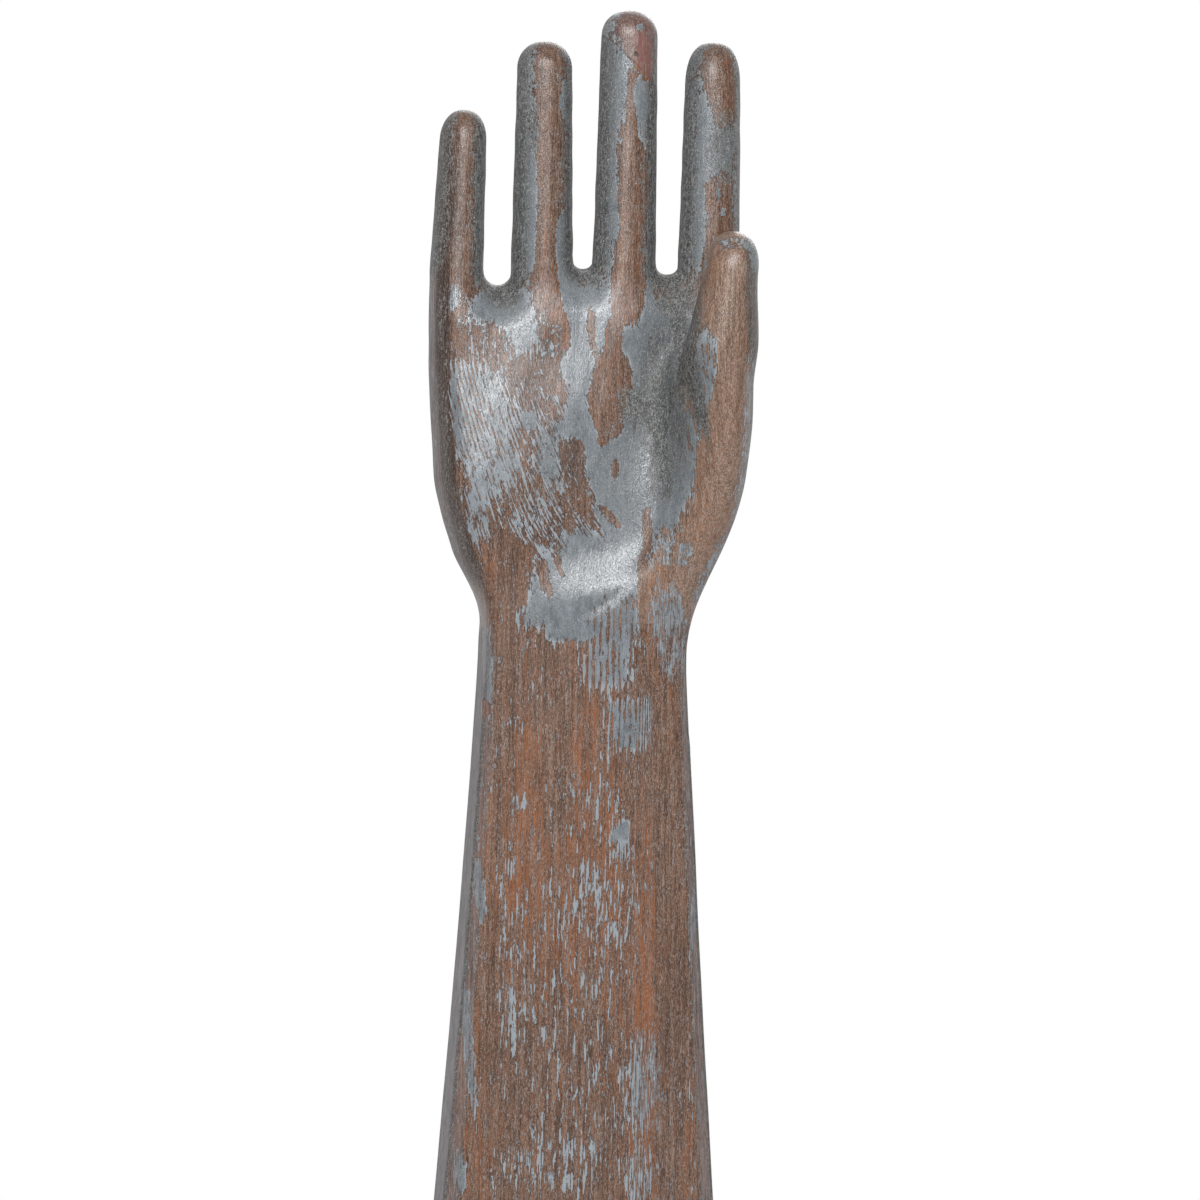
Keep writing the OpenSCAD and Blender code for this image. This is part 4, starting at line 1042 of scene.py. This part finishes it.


# Paint, grime with painted shade, weathering with painted rim light, tone and combing of every point of a carved
# piece
def wearOf(points, isThumb, isTip):
    x, y, z = points.T
    px, py = photoPlace(points)
    arm = 1 - ease(wristZ - 10, wristZ + 30, z)
    finger = ease(knuckleZ - 12, knuckleZ + 6, z)
    back = mix(ease(-6.0, 1.0, y), ease(-0.6, 0.6, y), finger)
    grimeAndShade = slotGrimeAndShade(x, z) * ease(crotchZ - 5, knuckleZ - 8, z)

    paint = mix(mix(wear["basePalm"], wear["baseArm"], arm), wear["baseFinger"], finger)
    if isThumb:
        paint = np.full_like(x, wear["baseThumb"])
    slow = lumps(points * np.array([1, 1, 0.4]), 30.0, 21)
    paint = layPlaces(paint + 0.15 * slow, px, py, paintPlaces)
    patchy = lumps(points * np.array([1, 1, 0.5]), 34.0, 31)
    paintBack = -0.5 + patchy * mix(0.4, 0.55, 1 - arm) - 0.15 * arm + 0.5 * grimeAndShade
    paint = mix(paint, paintBack, back)

    across = fingerSide(x, z) * finger
    side = np.where(across < 0, ease(0.05, 0.8, -across), ease(0.35, 0.95, across))
    paint = mix(paint, np.maximum(paint, wear["sidePaint"]), side * (1 - back))
    # Grime on the finger sides, which is also painted shade where they turn from the light, more on the left sides
    sootAndShade = wear["sideSootAndShade"] * side * np.where(across < 0, 1.0, 0.9)
    sootAndShade = np.maximum(sootAndShade, 0.95 * grimeAndShade)
    top = np.max(np.stack([ease(0.45, 1.0, (z - fingerTop[i] + fingers["dome"][i]) / fingers["dome"][i])
                           * (np.abs(x - fingerMid(i, z)) < fingers["width"][i] / 2) for i in range(4)]), axis=0)
    sootAndShade = np.maximum(sootAndShade, 0.55 * top)
    sootAndShade = np.maximum(sootAndShade, layPlaces(np.zeros_like(x), px, py, sootAndShadePlaces, 0.5) * (1 - back))
    edge = np.minimum(x - leftX(z), rightX(z) - x)
    palmSide = ease(wristZ - 5, wristZ + 20, z) * (1 - finger)
    # The dark band along the palm's left side, where it rounds away from the light: darker wood, bare of paint, and
    # painted shade
    leftShadedBand = ease(*wear["bandOut"], edge) * (1 - ease(*wear["bandIn"], edge)) * (x < 0) * (1 - back)
    leftShadedBand = leftShadedBand * ease(wristZ + 5, wristZ + 35, z)
    paint = mix(paint, -1.3, leftShadedBand)
    sootAndShade = np.maximum(sootAndShade * (1 - leftShadedBand * (1 - finger)), 0.3 * leftShadedBand * palmSide)
    chamfer = armChamfer(z)
    # Dark lines along the forearm's edge and the chamfer's inner arris: grime, and painted shade where the faces
    # turn
    arrisGrimeAndShade = np.exp(-((edge - 0.7) / 0.7) ** 2) + 0.8 * np.exp(-((edge - chamfer) / 0.6) ** 2)
    sootAndShade = np.maximum(sootAndShade, 0.8 * arrisGrimeAndShade * arm)

    # Pale grey along the forearm's edges and chamfers, the palm's outer rim and the finger sides: weathering, and
    # painted rim light where these edges catch the light from behind and the backdrop
    grey = (1 - ease(0.1, wear["strip"], edge)) * arm
    grey = np.maximum(grey, 0.35 * (1 - ease(chamfer - 0.5, chamfer + 0.5, edge)) * arm)
    grey = np.maximum(grey, (1 - ease(*wear["bandOut"], edge)) * palmSide * 0.7)
    grey = np.maximum(grey, 0.5 * ease(0.85, 1.0, np.abs(across)))
    if isThumb:
        left = np.where(z > crotchZ, 28.6, seatLeft(z))
        depth = -y - thumb["seat"]
        # The valley along the thumb's left edge, its outer edge near the crotch and the crease where it leaves the
        # seat are darkened: painted shade with grime
        sootAndShade = np.maximum(0.0, 0.7 * (1 - ease(1.0, 7.0, x - left)) * ease(wristZ + 30, crotchZ - 10, z))
        sootAndShade = np.maximum(sootAndShade, layPlaces(np.zeros_like(x), px, py, {"valley": sootAndShadePlaces["valley"]}, 0.5))
        sootAndShade = np.maximum(sootAndShade, 0.45 * (1 - ease(1.5, 5.0, edge)) * ease(crotchZ - 30, crotchZ, z))
        # Pale grey at the block's edges low down: weathering with painted rim light
        grey = (1 - ease(0.5, 4.0, edge)) * 0.5 * (1 - ease(crotchZ - 10, crotchZ + 20, z))
        sootAndShade = np.maximum(sootAndShade, 0.6 * (1 - ease(3.0, 8.0, depth)) * ease(crotchZ, crotchZ + 8, z))

    tone = layPlaces(0.12 * slow, px, py, tonePlaces, 0.6) * (1 - back) - 0.1 * back
    tone = mix(tone - wear["handTone"] * (1 - arm), -1.6, leftShadedBand * (1 - 0.5 * finger))
    if isThumb:
        # The thumb's edges in darker wood: painted shade where they turn from the light
        rim = np.maximum(1 - ease(0.5, 4.0, edge), 1 - ease(0.5, 5.0, x - left))
        tone = tone - 1.2 * rim * ease(crotchZ - 40, crotchZ - 10, z)
    if isTip:
        tone = np.where(tone > 0.5, tone, tone - 0.25)
        sootAndShade = sootAndShade * 0.6
        paint = paint - 0.25
    comb = layPlaces(np.zeros_like(x), px, py, combPlaces, 0.4) * (1 - back)
    chipping = mix(wear["chipping"], wear["fingerChipping"], finger)
    chipping = mix(layPlaces(chipping, px, py, chipPlaces, 0.4), wear["chipping"], back)
    chipping = mix(chipping, wear["fleck"], arm * (1 - ease(0.4, 0.8, paint)))
    return {"paint": paint, "sootAndShade": sootAndShade, "grey": grey, "tone": tone, "comb": comb, "chipping": chipping}


def addWear(piece, isThumb=False, isTip=False):
    data = piece.data
    points = np.empty(len(data.vertices) * 3)
    data.vertices.foreach_get("co", points)
    points = points.reshape(-1, 3) / mm
    for name, values in wearOf(points, isThumb, isTip).items():
        data.attributes.new(name, "FLOAT", "POINT").data.foreach_set("value", values.astype(np.float32))
    across = strokeAcross(points[:, 0], points[:, 2])
    vectors = np.stack([across, points[:, 1], points[:, 2]], axis=-1).astype(np.float32)
    data.attributes.new("strokes", "FLOAT_VECTOR", "POINT").data.foreach_set("vector", vectors.ravel())


print("paint and wear")
for piece in carvedPieces:
    addWear(piece, isThumb=piece is thumbPiece, isTip=piece is fingertip)


# A socket of a material under construction: each method adds one Math node
class Link:
    def __init__(self, tree, socket):
        self.tree, self.socket = tree, socket

    def math(self, operation, first, second, clamp=False):
        return Shade.of(self.tree).node("ShaderNodeMath", {"operation": operation, "use_clamp": clamp},
                                        {0: first, 1: second})

    def __add__(self, other):
        return self.math("ADD", self, other)

    def __radd__(self, other):
        return self.math("ADD", other, self)

    def __sub__(self, other):
        return self.math("SUBTRACT", self, other)

    def __rsub__(self, other):
        return self.math("SUBTRACT", other, self)

    def __mul__(self, other):
        return self.math("MULTIPLY", self, other)

    def __rmul__(self, other):
        return self.math("MULTIPLY", other, self)

    def most(self, other):
        return self.math("MAXIMUM", self, other)

    def held(self):
        return self.math("ADD", self, 0.0, clamp=True)


# A material's node tree, with one method for any node
class Shade:
    def __init__(self, name):
        self.material = bpy.data.materials.new(name)
        self.material.use_nodes = True
        self.tree = self.material.node_tree
        self.tree.nodes.clear()

    @classmethod
    def of(cls, tree):
        shade = cls.__new__(cls)
        shade.tree = tree
        return shade

    def node(self, kind, settings=None, values=None, out=0):
        made = self.tree.nodes.new(kind)
        for name, value in (settings or {}).items():
            setattr(made, name, value)
        for name, value in (values or {}).items():
            if isinstance(value, Link):
                self.tree.links.new(value.socket, made.inputs[name])
            else:
                made.inputs[name].default_value = value
        return Link(self.tree, made.outputs[out]) if made.outputs else None

    # Places of the piece in millimetres
    def place(self):
        coordinates = self.node("ShaderNodeTexCoord", out=3)
        return self.node("ShaderNodeVectorMath", {"operation": "SCALE"}, {0: coordinates, "Scale": 1 / mm})

    def attribute(self, name, out=2):
        return self.node("ShaderNodeAttribute", {"attribute_name": name}, out=out)

    # Noise about 0, from about -1 to 1, of grains of a size in millimetres: the places over the size
    def noise(self, vector, size, detail=2.0, roughness=0.55, move=(0, 0, 0), twist=0.0):
        scale = tuple(1 / s for s in size)
        moved = self.node("ShaderNodeVectorMath", {"operation": "MULTIPLY_ADD"}, {0: vector, 1: scale, 2: move})
        made = self.node("ShaderNodeTexNoise", {}, {
            "Vector": moved, "Scale": 1.0, "Detail": detail, "Roughness": roughness, "Distortion": twist})
        return (made - 0.5) * 4.0

    # 0 below low, 1 above high and smooth between
    def step(self, value, low, high):
        return self.node("ShaderNodeMapRange", {"interpolation_type": "SMOOTHSTEP"},
                         {"Value": value, "From Min": low, "From Max": high})

    def blend(self, factor, first, second):
        return self.node("ShaderNodeMix", {"data_type": "RGBA", "clamp_factor": True},
                         {0: factor, 6: first, 7: second}, out=2)

    # The shader with its bump: the height is in millimetres
    def finish(self, color, rough, height, **more):
        bump = self.node("ShaderNodeBump", {}, {"Height": height, "Distance": mm, "Strength": 1.0})
        surface = self.node("ShaderNodeBsdfPrincipled", {}, {
            "Base Color": color, "Roughness": rough, "Normal": bump,
            **{name.replace("_", " "): value for name, value in more.items()}})
        self.node("ShaderNodeOutputMaterial", {}, {"Surface": surface})
        return self.material


# A colour from 0 to 255, as linear light
def rgb(red, green, blue):
    return tuple(((v / 255 + 0.055) / 1.055) ** 2.4 for v in (red, green, blue)) + (1.0,)


# Colours of old hardwood, worn paint and grime; the glint is a painted highlight and the pale side colour carries
# painted rim light
woodColors = {
    "worn": {"dark": rgb(54, 37, 30), "light": rgb(126, 93, 72), "warm": rgb(140, 81, 38),
             "deep": rgb(40, 31, 28), "grey": rgb(142, 140, 140)},
    "golden": {"dark": rgb(76, 57, 46), "light": rgb(150, 121, 103), "warm": rgb(140, 92, 58),
               "deep": rgb(52, 41, 35), "grey": rgb(160, 150, 141)},
    "red": {"dark": rgb(70, 48, 42), "light": rgb(136, 108, 99), "warm": rgb(124, 84, 79),
            "deep": rgb(50, 36, 33), "grey": rgb(146, 137, 134)},
}
paintColors = {
    "pale": rgb(129, 135, 140),
    "mid": rgb(86, 91, 95),
    "dull": rgb(84, 87, 87),
    "chalk": rgb(150, 157, 163),
    "grimeDark": rgb(30, 29, 27),
    "grimeLight": rgb(142, 143, 141),
    "pit": rgb(36, 32, 30),
    "glint": rgb(196, 193, 190),
    "sideDark": rgb(62, 57, 57),
    "sideLight": rgb(164, 160, 165),
}


# Bare hardwood: dark and light fibres along z, warm streaks, dark pores and grey left in the grain
def bareWood(shade, place, colors, tone):
    fine = shade.noise(place, (0.27, 0.27, 1.3), 2.0, 0.6, (4, 1, 8))
    fibre = shade.noise(place, (0.3, 0.3, 7.0), 2.0, 0.6)
    speck = shade.noise(place, (0.22, 0.22, 0.45), 1.0, 0.5, (6, 2, 9))
    band = shade.noise(place, (1.1, 1.1, 32.0), 2.0, 0.55, (7, 3, 1), 0.3)
    warmth = shade.noise(place, (0.55, 0.55, 18.0), 2.0, 0.6, (2, 6, 4))
    broad = shade.noise(place, (9.0, 9.0, 110.0), 1.0, 0.5, (1, 9, 4))
    light = shade.step(fibre * 0.55 + band * 0.45 + fine * 0.5 + speck * 0.55, -1.0, 1.0)
    wood = shade.blend(light, colors["dark"], colors["light"])
    warm = shade.step(warmth * 0.7 + tone * 0.8 + broad * 0.4, 0.0, 1.1)
    wood = shade.blend(warm * 0.8, wood, colors["warm"])
    wood = shade.blend(shade.step(broad * 0.4 - tone, 0.2, 1.3) * 0.75, wood, colors["deep"])
    grain = shade.step(fine * 0.7 - warmth * 0.35 + band * 0.25 + speck * 0.35, 0.0, 0.8)
    wood = shade.blend(grain * 0.45, wood, colors["grey"])
    pores = shade.step(fibre * 0.3 - fine * 0.8, 0.45, 1.0)
    wood = shade.blend(pores * 0.55, wood, colors["deep"])
    return wood, fine, fibre, band, pores, speck


# Hardwood with worn paint: the paint is left where its value beats ragged noise and the carver's strokes,
# and stippled grime with painted shade, weathered sides with painted rim light and painted glints lie over both
def paintedWood(name, colors):
    shade = Shade(name)
    place = shade.place()
    strokes = shade.attribute("strokes", out=1)
    paint, sootAndShade, side, tone = (shade.attribute(n) for n in ("paint", "sootAndShade", "grey", "tone"))
    comb, chipping = shade.attribute("comb"), shade.attribute("chipping")
    wood, fine, fibre, band, pores, speck = bareWood(shade, place, colors, tone)
    stipple = shade.noise(place, (0.42, 0.42, 0.6), 2.0, 0.7, (2, 5, 3))
    ragged = shade.noise(place, (2.6, 2.6, 5.0), 4.0, 0.7, (5, 5, 5))
    torn = shade.noise(place, (0.9, 0.9, 1.5), 3.0, 0.7, (8, 1, 3))
    chips = shade.noise(strokes, (0.55, 1.2, 7.5), 2.0, 0.6, (3, 8, 2))

    turns = shade.node("ShaderNodeSeparateXYZ", {}, {0: strokes}, 0) * (2 * math.pi / 1.5) + band * 0.9
    combing = shade.node("ShaderNodeMath", {"operation": "SINE"}, {0: turns})
    lean = paint + ragged * 0.5 + torn * 0.5 + chips * chipping + fine * 0.1 + combing * comb
    painted = shade.step(lean, -0.03, 0.05)
    rim = shade.step(lean, -0.28, -0.03) * (1 - painted)
    mottle = shade.step(ragged * 0.5 + stipple * 0.25 + fibre * 0.2 + speck * 0.3, -0.8, 0.9)
    coat = shade.blend(mottle, paintColors["mid"], paintColors["pale"])
    coat = shade.blend(shade.step(fine * 0.5 - ragged * 0.3, 0.3, 1.0) * 0.5, coat, paintColors["dull"])
    # Paler chalky paint where it is worn thin; on the left of the palm it also stands in for the paint's sheen, a
    # painted highlight
    coat = shade.blend(shade.step(paint * -1.0, -0.5, 0.2) * 0.7, coat, paintColors["chalk"])
    color = shade.blend(painted, shade.blend(rim * 0.8, wood, colors["deep"]), coat)

    # Weathered grey of the sides and edges, where the grey attribute lies: streaky weathering whose pale carries
    # painted rim light
    streaks = shade.noise(place, (0.5, 1.5, 34.0), 3.0, 0.6, (3, 3, 6))
    weatheredAndRimLit = shade.blend(shade.step(streaks * 0.7 + fibre * 0.5 + ragged * 0.2, -1.1, 1.1),
                            paintColors["sideDark"], paintColors["sideLight"])
    color = shade.blend((side * 0.9 + fibre * 0.15 * side).held(), color, weatheredAndRimLit)
    # Stippled grime where the soot attribute is high: dirt, and painted shade in the hollow, the crotches and the
    # sides turned from the light
    salt = shade.step(torn * 0.6 + stipple * 0.5 + speck * 0.4 + fibre * 0.4, -0.5, 1.0)
    grimeAndShade = shade.blend(salt, paintColors["grimeDark"], paintColors["grimeLight"])
    dirtAndShade = shade.step(sootAndShade + stipple * 0.25 + torn * 0.3 + ragged * 0.3 + fibre * 0.2, 0.3, 0.75)
    color = shade.blend(dirtAndShade * 0.92, color, grimeAndShade)
    # Light specks: worn high points and painted glints, a painted highlight, more in the grime; then dark pits
    grit = speck * 0.6 + fine * 0.45
    color = shade.blend(shade.step(grit, 0.15, 1.2) * (dirtAndShade * 0.35 + 0.22), color, paintColors["glint"])
    color = shade.blend(shade.step(grit * -1.0, 0.15, 1.2) * 0.45, color, paintColors["pit"])

    rough = 0.33 - painted * 0.09 + dirtAndShade * 0.2 + speck * 0.04 + side * 0.3
    height = fibre * 0.014 + fine * 0.014 + speck * 0.012 + band * 0.015 + painted * 0.08
    height = height + (stipple * 0.07 + torn * 0.1) * dirtAndShade + ragged * 0.03 + chips * chipping * 0.02 - pores * 0.02
    return shade.finish(color, rough, height, Specular_IOR_Level=0.5)


# Bare hardwood of the pieces that keep their solids' surface
def plainWood(name, colors, level):
    shade = Shade(name)
    wood, fine, fibre, band, pores, speck = bareWood(shade, shade.place(), colors, level)
    return shade.finish(wood, fine * 0.03 + 0.44, fibre * 0.03 + band * 0.02 - pores * 0.03)


# Plain birch of the dowels: fine fibres along their own length
def birch(name):
    shade = Shade(name)
    place = shade.place()
    grain = shade.noise(place, (0.4, 7.0, 0.4), 3.0)
    slow = shade.noise(place, (3.0, 20.0, 3.0), 1.0)
    light = shade.step(grain * 0.6 + slow * 0.5, -0.9, 0.9)
    color = shade.blend(light, rgb(152, 118, 84), rgb(198, 166, 128))
    return shade.finish(color, grain * 0.03 + 0.62, grain * 0.02)


# Steel: brushed lines, dull stains, and rust where slow noise passes a level
def steel(name, base, dull, lines, rusty):
    shade = Shade(name)
    place = shade.place()
    brushed = shade.noise(place, lines, 2.0, 0.6)
    stain = shade.noise(place, (7.0, 7.0, 7.0), 4.0, 0.6, (3, 1, 2))
    pits = shade.noise(place, (0.7, 0.7, 0.7), 2.0, 0.6, (8, 2, 5))
    rust = shade.step(stain + pits * 0.35, 0.75 - rusty, 1.25 - rusty)
    color = shade.blend(shade.step(brushed * 0.4 + stain * 0.5, -0.9, 0.9), dull, base)
    rustColor = shade.blend(shade.step(pits, -0.6, 0.8), rgb(82, 46, 30), rgb(138, 84, 50))
    color = shade.blend(rust * 0.85, color, rustColor)
    height = brushed * 0.01 + rust * 0.03 - shade.step(pits, 0.7, 1.1) * 0.03
    return shade.finish(color, rust * 0.4 + brushed * 0.05 + 0.36, height, Metallic=1 - rust * 0.9)


print("materials")
finish = {
    "worn_wood": paintedWood("worn_painted_hardwood", woodColors["worn"]),
    "golden_wood": paintedWood("handled_hardwood", woodColors["golden"]),
    "red_wood": paintedWood("reddish_hardwood", woodColors["red"]),
    "dowel_wood": birch("birch"),
    "plate_steel": steel("plate_steel", rgb(150, 148, 145), rgb(112, 108, 104), (0.3, 14.0, 3.0), 0.15),
    "bare_steel": steel("bare_steel", rgb(186, 184, 180), rgb(140, 136, 132), (3.0, 0.3, 3.0), 0.0),
}
plugFinish = plainWood("plug_hardwood", woodColors["red"], -0.3)


def dress(piece, material):
    piece.data.materials.clear()
    piece.data.materials.append(material)


for piece, slotName in ((palmBoard, "worn_wood"), (backBoard, "worn_wood"),
                        (thumbPiece, "golden_wood"), (fingertip, "red_wood")):
    dress(piece, finish[slotName])
for part in frame["record"]["subparts"]:
    node = nodes[part["node"]]
    material = plugFinish if part["node"] == "wrist_plug" else finish[part["material_slot"]]
    for n in range(len(node.material_slots)):
        node.material_slots[n].material = material

# The floor, a softbox high in front, a weak fill and the camera of the photograph
studio = {
    "floorRadius": 1.2,
    "floorFade": 0.62,
    "floorColor": (0.82, 0.82, 0.82, 1.0),
    "keyPower": 25.5,
    "keySize": 0.45,
    "keyRise": 26.0,
    "keyTurn": -7.0,
    "keyDistance": 1.6,
    "fill": 0.28,
    "behind": (0.1, 0.9),
    "backFill": 0.4,
    "backPower": 10.0,
    "backSize": 1.0,
    "backRise": 34.0,
    "backTurn": 165.0,
    "backdrop": (-0.3, 0.6),
}


# A ring of the floor: radius by turn
def makeFloor():
    turn = np.linspace(0, 2 * np.pi, 97)[:-1]
    radii = np.linspace(0, studio["floorRadius"], 25)[1:]
    rings = np.stack([radii[:, None] * np.cos(turn), radii[:, None] * np.sin(turn),
                      np.zeros((len(radii), len(turn)))], axis=-1) / mm
    points = np.concatenate([rings.reshape(-1, 3), [[0, 0, 0]]])
    index = np.arange(rings.shape[0] * rings.shape[1]).reshape(rings.shape[:2])
    closed = np.concatenate([index, index[:, :1]], axis=1)
    middle = np.stack([np.full(len(turn), len(points) - 1), closed[0, :-1], closed[0, 1:]], axis=-1)
    floor = makePiece("floor", points, [middle, gridFaces(closed)[:, ::-1]])
    shade = Shade("pale_floor")
    spread = shade.node("ShaderNodeVectorMath", {"operation": "LENGTH"}, {
        0: shade.node("ShaderNodeTexCoord", out=3)}, out=1)
    fade = shade.step(spread, studio["floorFade"], studio["floorRadius"] * 0.98)
    flat = shade.node("ShaderNodeBsdfDiffuse", {}, {"Color": studio["floorColor"]})
    clear = shade.node("ShaderNodeBsdfTransparent", {}, {})
    surface = shade.node("ShaderNodeMixShader", {}, {0: fade, 1: flat, 2: clear})
    shade.node("ShaderNodeOutputMaterial", {}, {"Surface": surface})
    dress(floor, shade.material)


def makeWorld():
    world = bpy.data.worlds.new("studio")
    bpy.context.scene.world = world
    world.use_nodes = True
    tree = world.node_tree
    tree.nodes.clear()
    shade = Shade.of(tree)
    camera, glossy, through = (shade.node("ShaderNodeLightPath", out=n) for n in (0, 3, 6))
    heading = shade.node("ShaderNodeSeparateXYZ", {}, {0: shade.node("ShaderNodeTexCoord")}, 1)
    seen = camera.most(through).most(glossy * shade.step(heading, *studio["backdrop"]))
    fill = shade.step(heading, *studio["behind"]) * studio["backFill"] + studio["fill"]
    strength = seen * (1.0 - fill) + fill
    back = shade.node("ShaderNodeBackground", {}, {"Color": (1, 1, 1, 1), "Strength": strength})
    shade.node("ShaderNodeOutputWorld", {}, {"Surface": back})


def makeLight(name, power, size, rise, turn, distance):
    data = bpy.data.lights.new(name, "AREA")
    data.shape, data.size, data.size_y, data.energy = "RECTANGLE", size, size, power
    light = bpy.data.objects.new(name, data)
    bpy.context.scene.collection.objects.link(light)
    rise, turn = math.radians(rise), math.radians(turn)
    way = Vector((math.sin(turn) * math.cos(rise), -math.cos(turn) * math.cos(rise), math.sin(rise)))
    light.location = photo["target"] + distance * way
    light.rotation_euler = way.to_track_quat("Z", "Y").to_euler()


def makeCamera():
    data = bpy.data.cameras.new("camera")
    data.sensor_width = 36.0
    data.lens = 36.0 * photo["distance"] / photo["height"]
    camera = bpy.data.objects.new("camera", data)
    bpy.context.scene.collection.objects.link(camera)
    turn = photo["turn"]
    eye = photo["target"] + photo["distance"] * Vector((math.sin(turn), -math.cos(turn), 0))
    camera.matrix_world = Matrix.Translation(eye) @ Matrix.Rotation(turn, 4, "Z") \
        @ Matrix.Rotation(math.pi / 2, 4, "X") @ Matrix.Rotation(photo["roll"], 4, "Z")
    bpy.context.scene.camera = camera


print("floor, light and camera")
makeFloor()
makeWorld()
makeLight("softbox", studio["keyPower"], studio["keySize"], studio["keyRise"], studio["keyTurn"],
          studio["keyDistance"])
makeLight("back_softbox", studio["backPower"], studio["backSize"], studio["backRise"], studio["backTurn"],
          studio["keyDistance"])
makeCamera()
bpy.context.scene.view_settings.view_transform = "Standard"

for piece in carvedPieces:
    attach(piece, "root")
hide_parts("palm_board")
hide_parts("back_board")
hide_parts("thumb_block")
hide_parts("middle_fingertip")
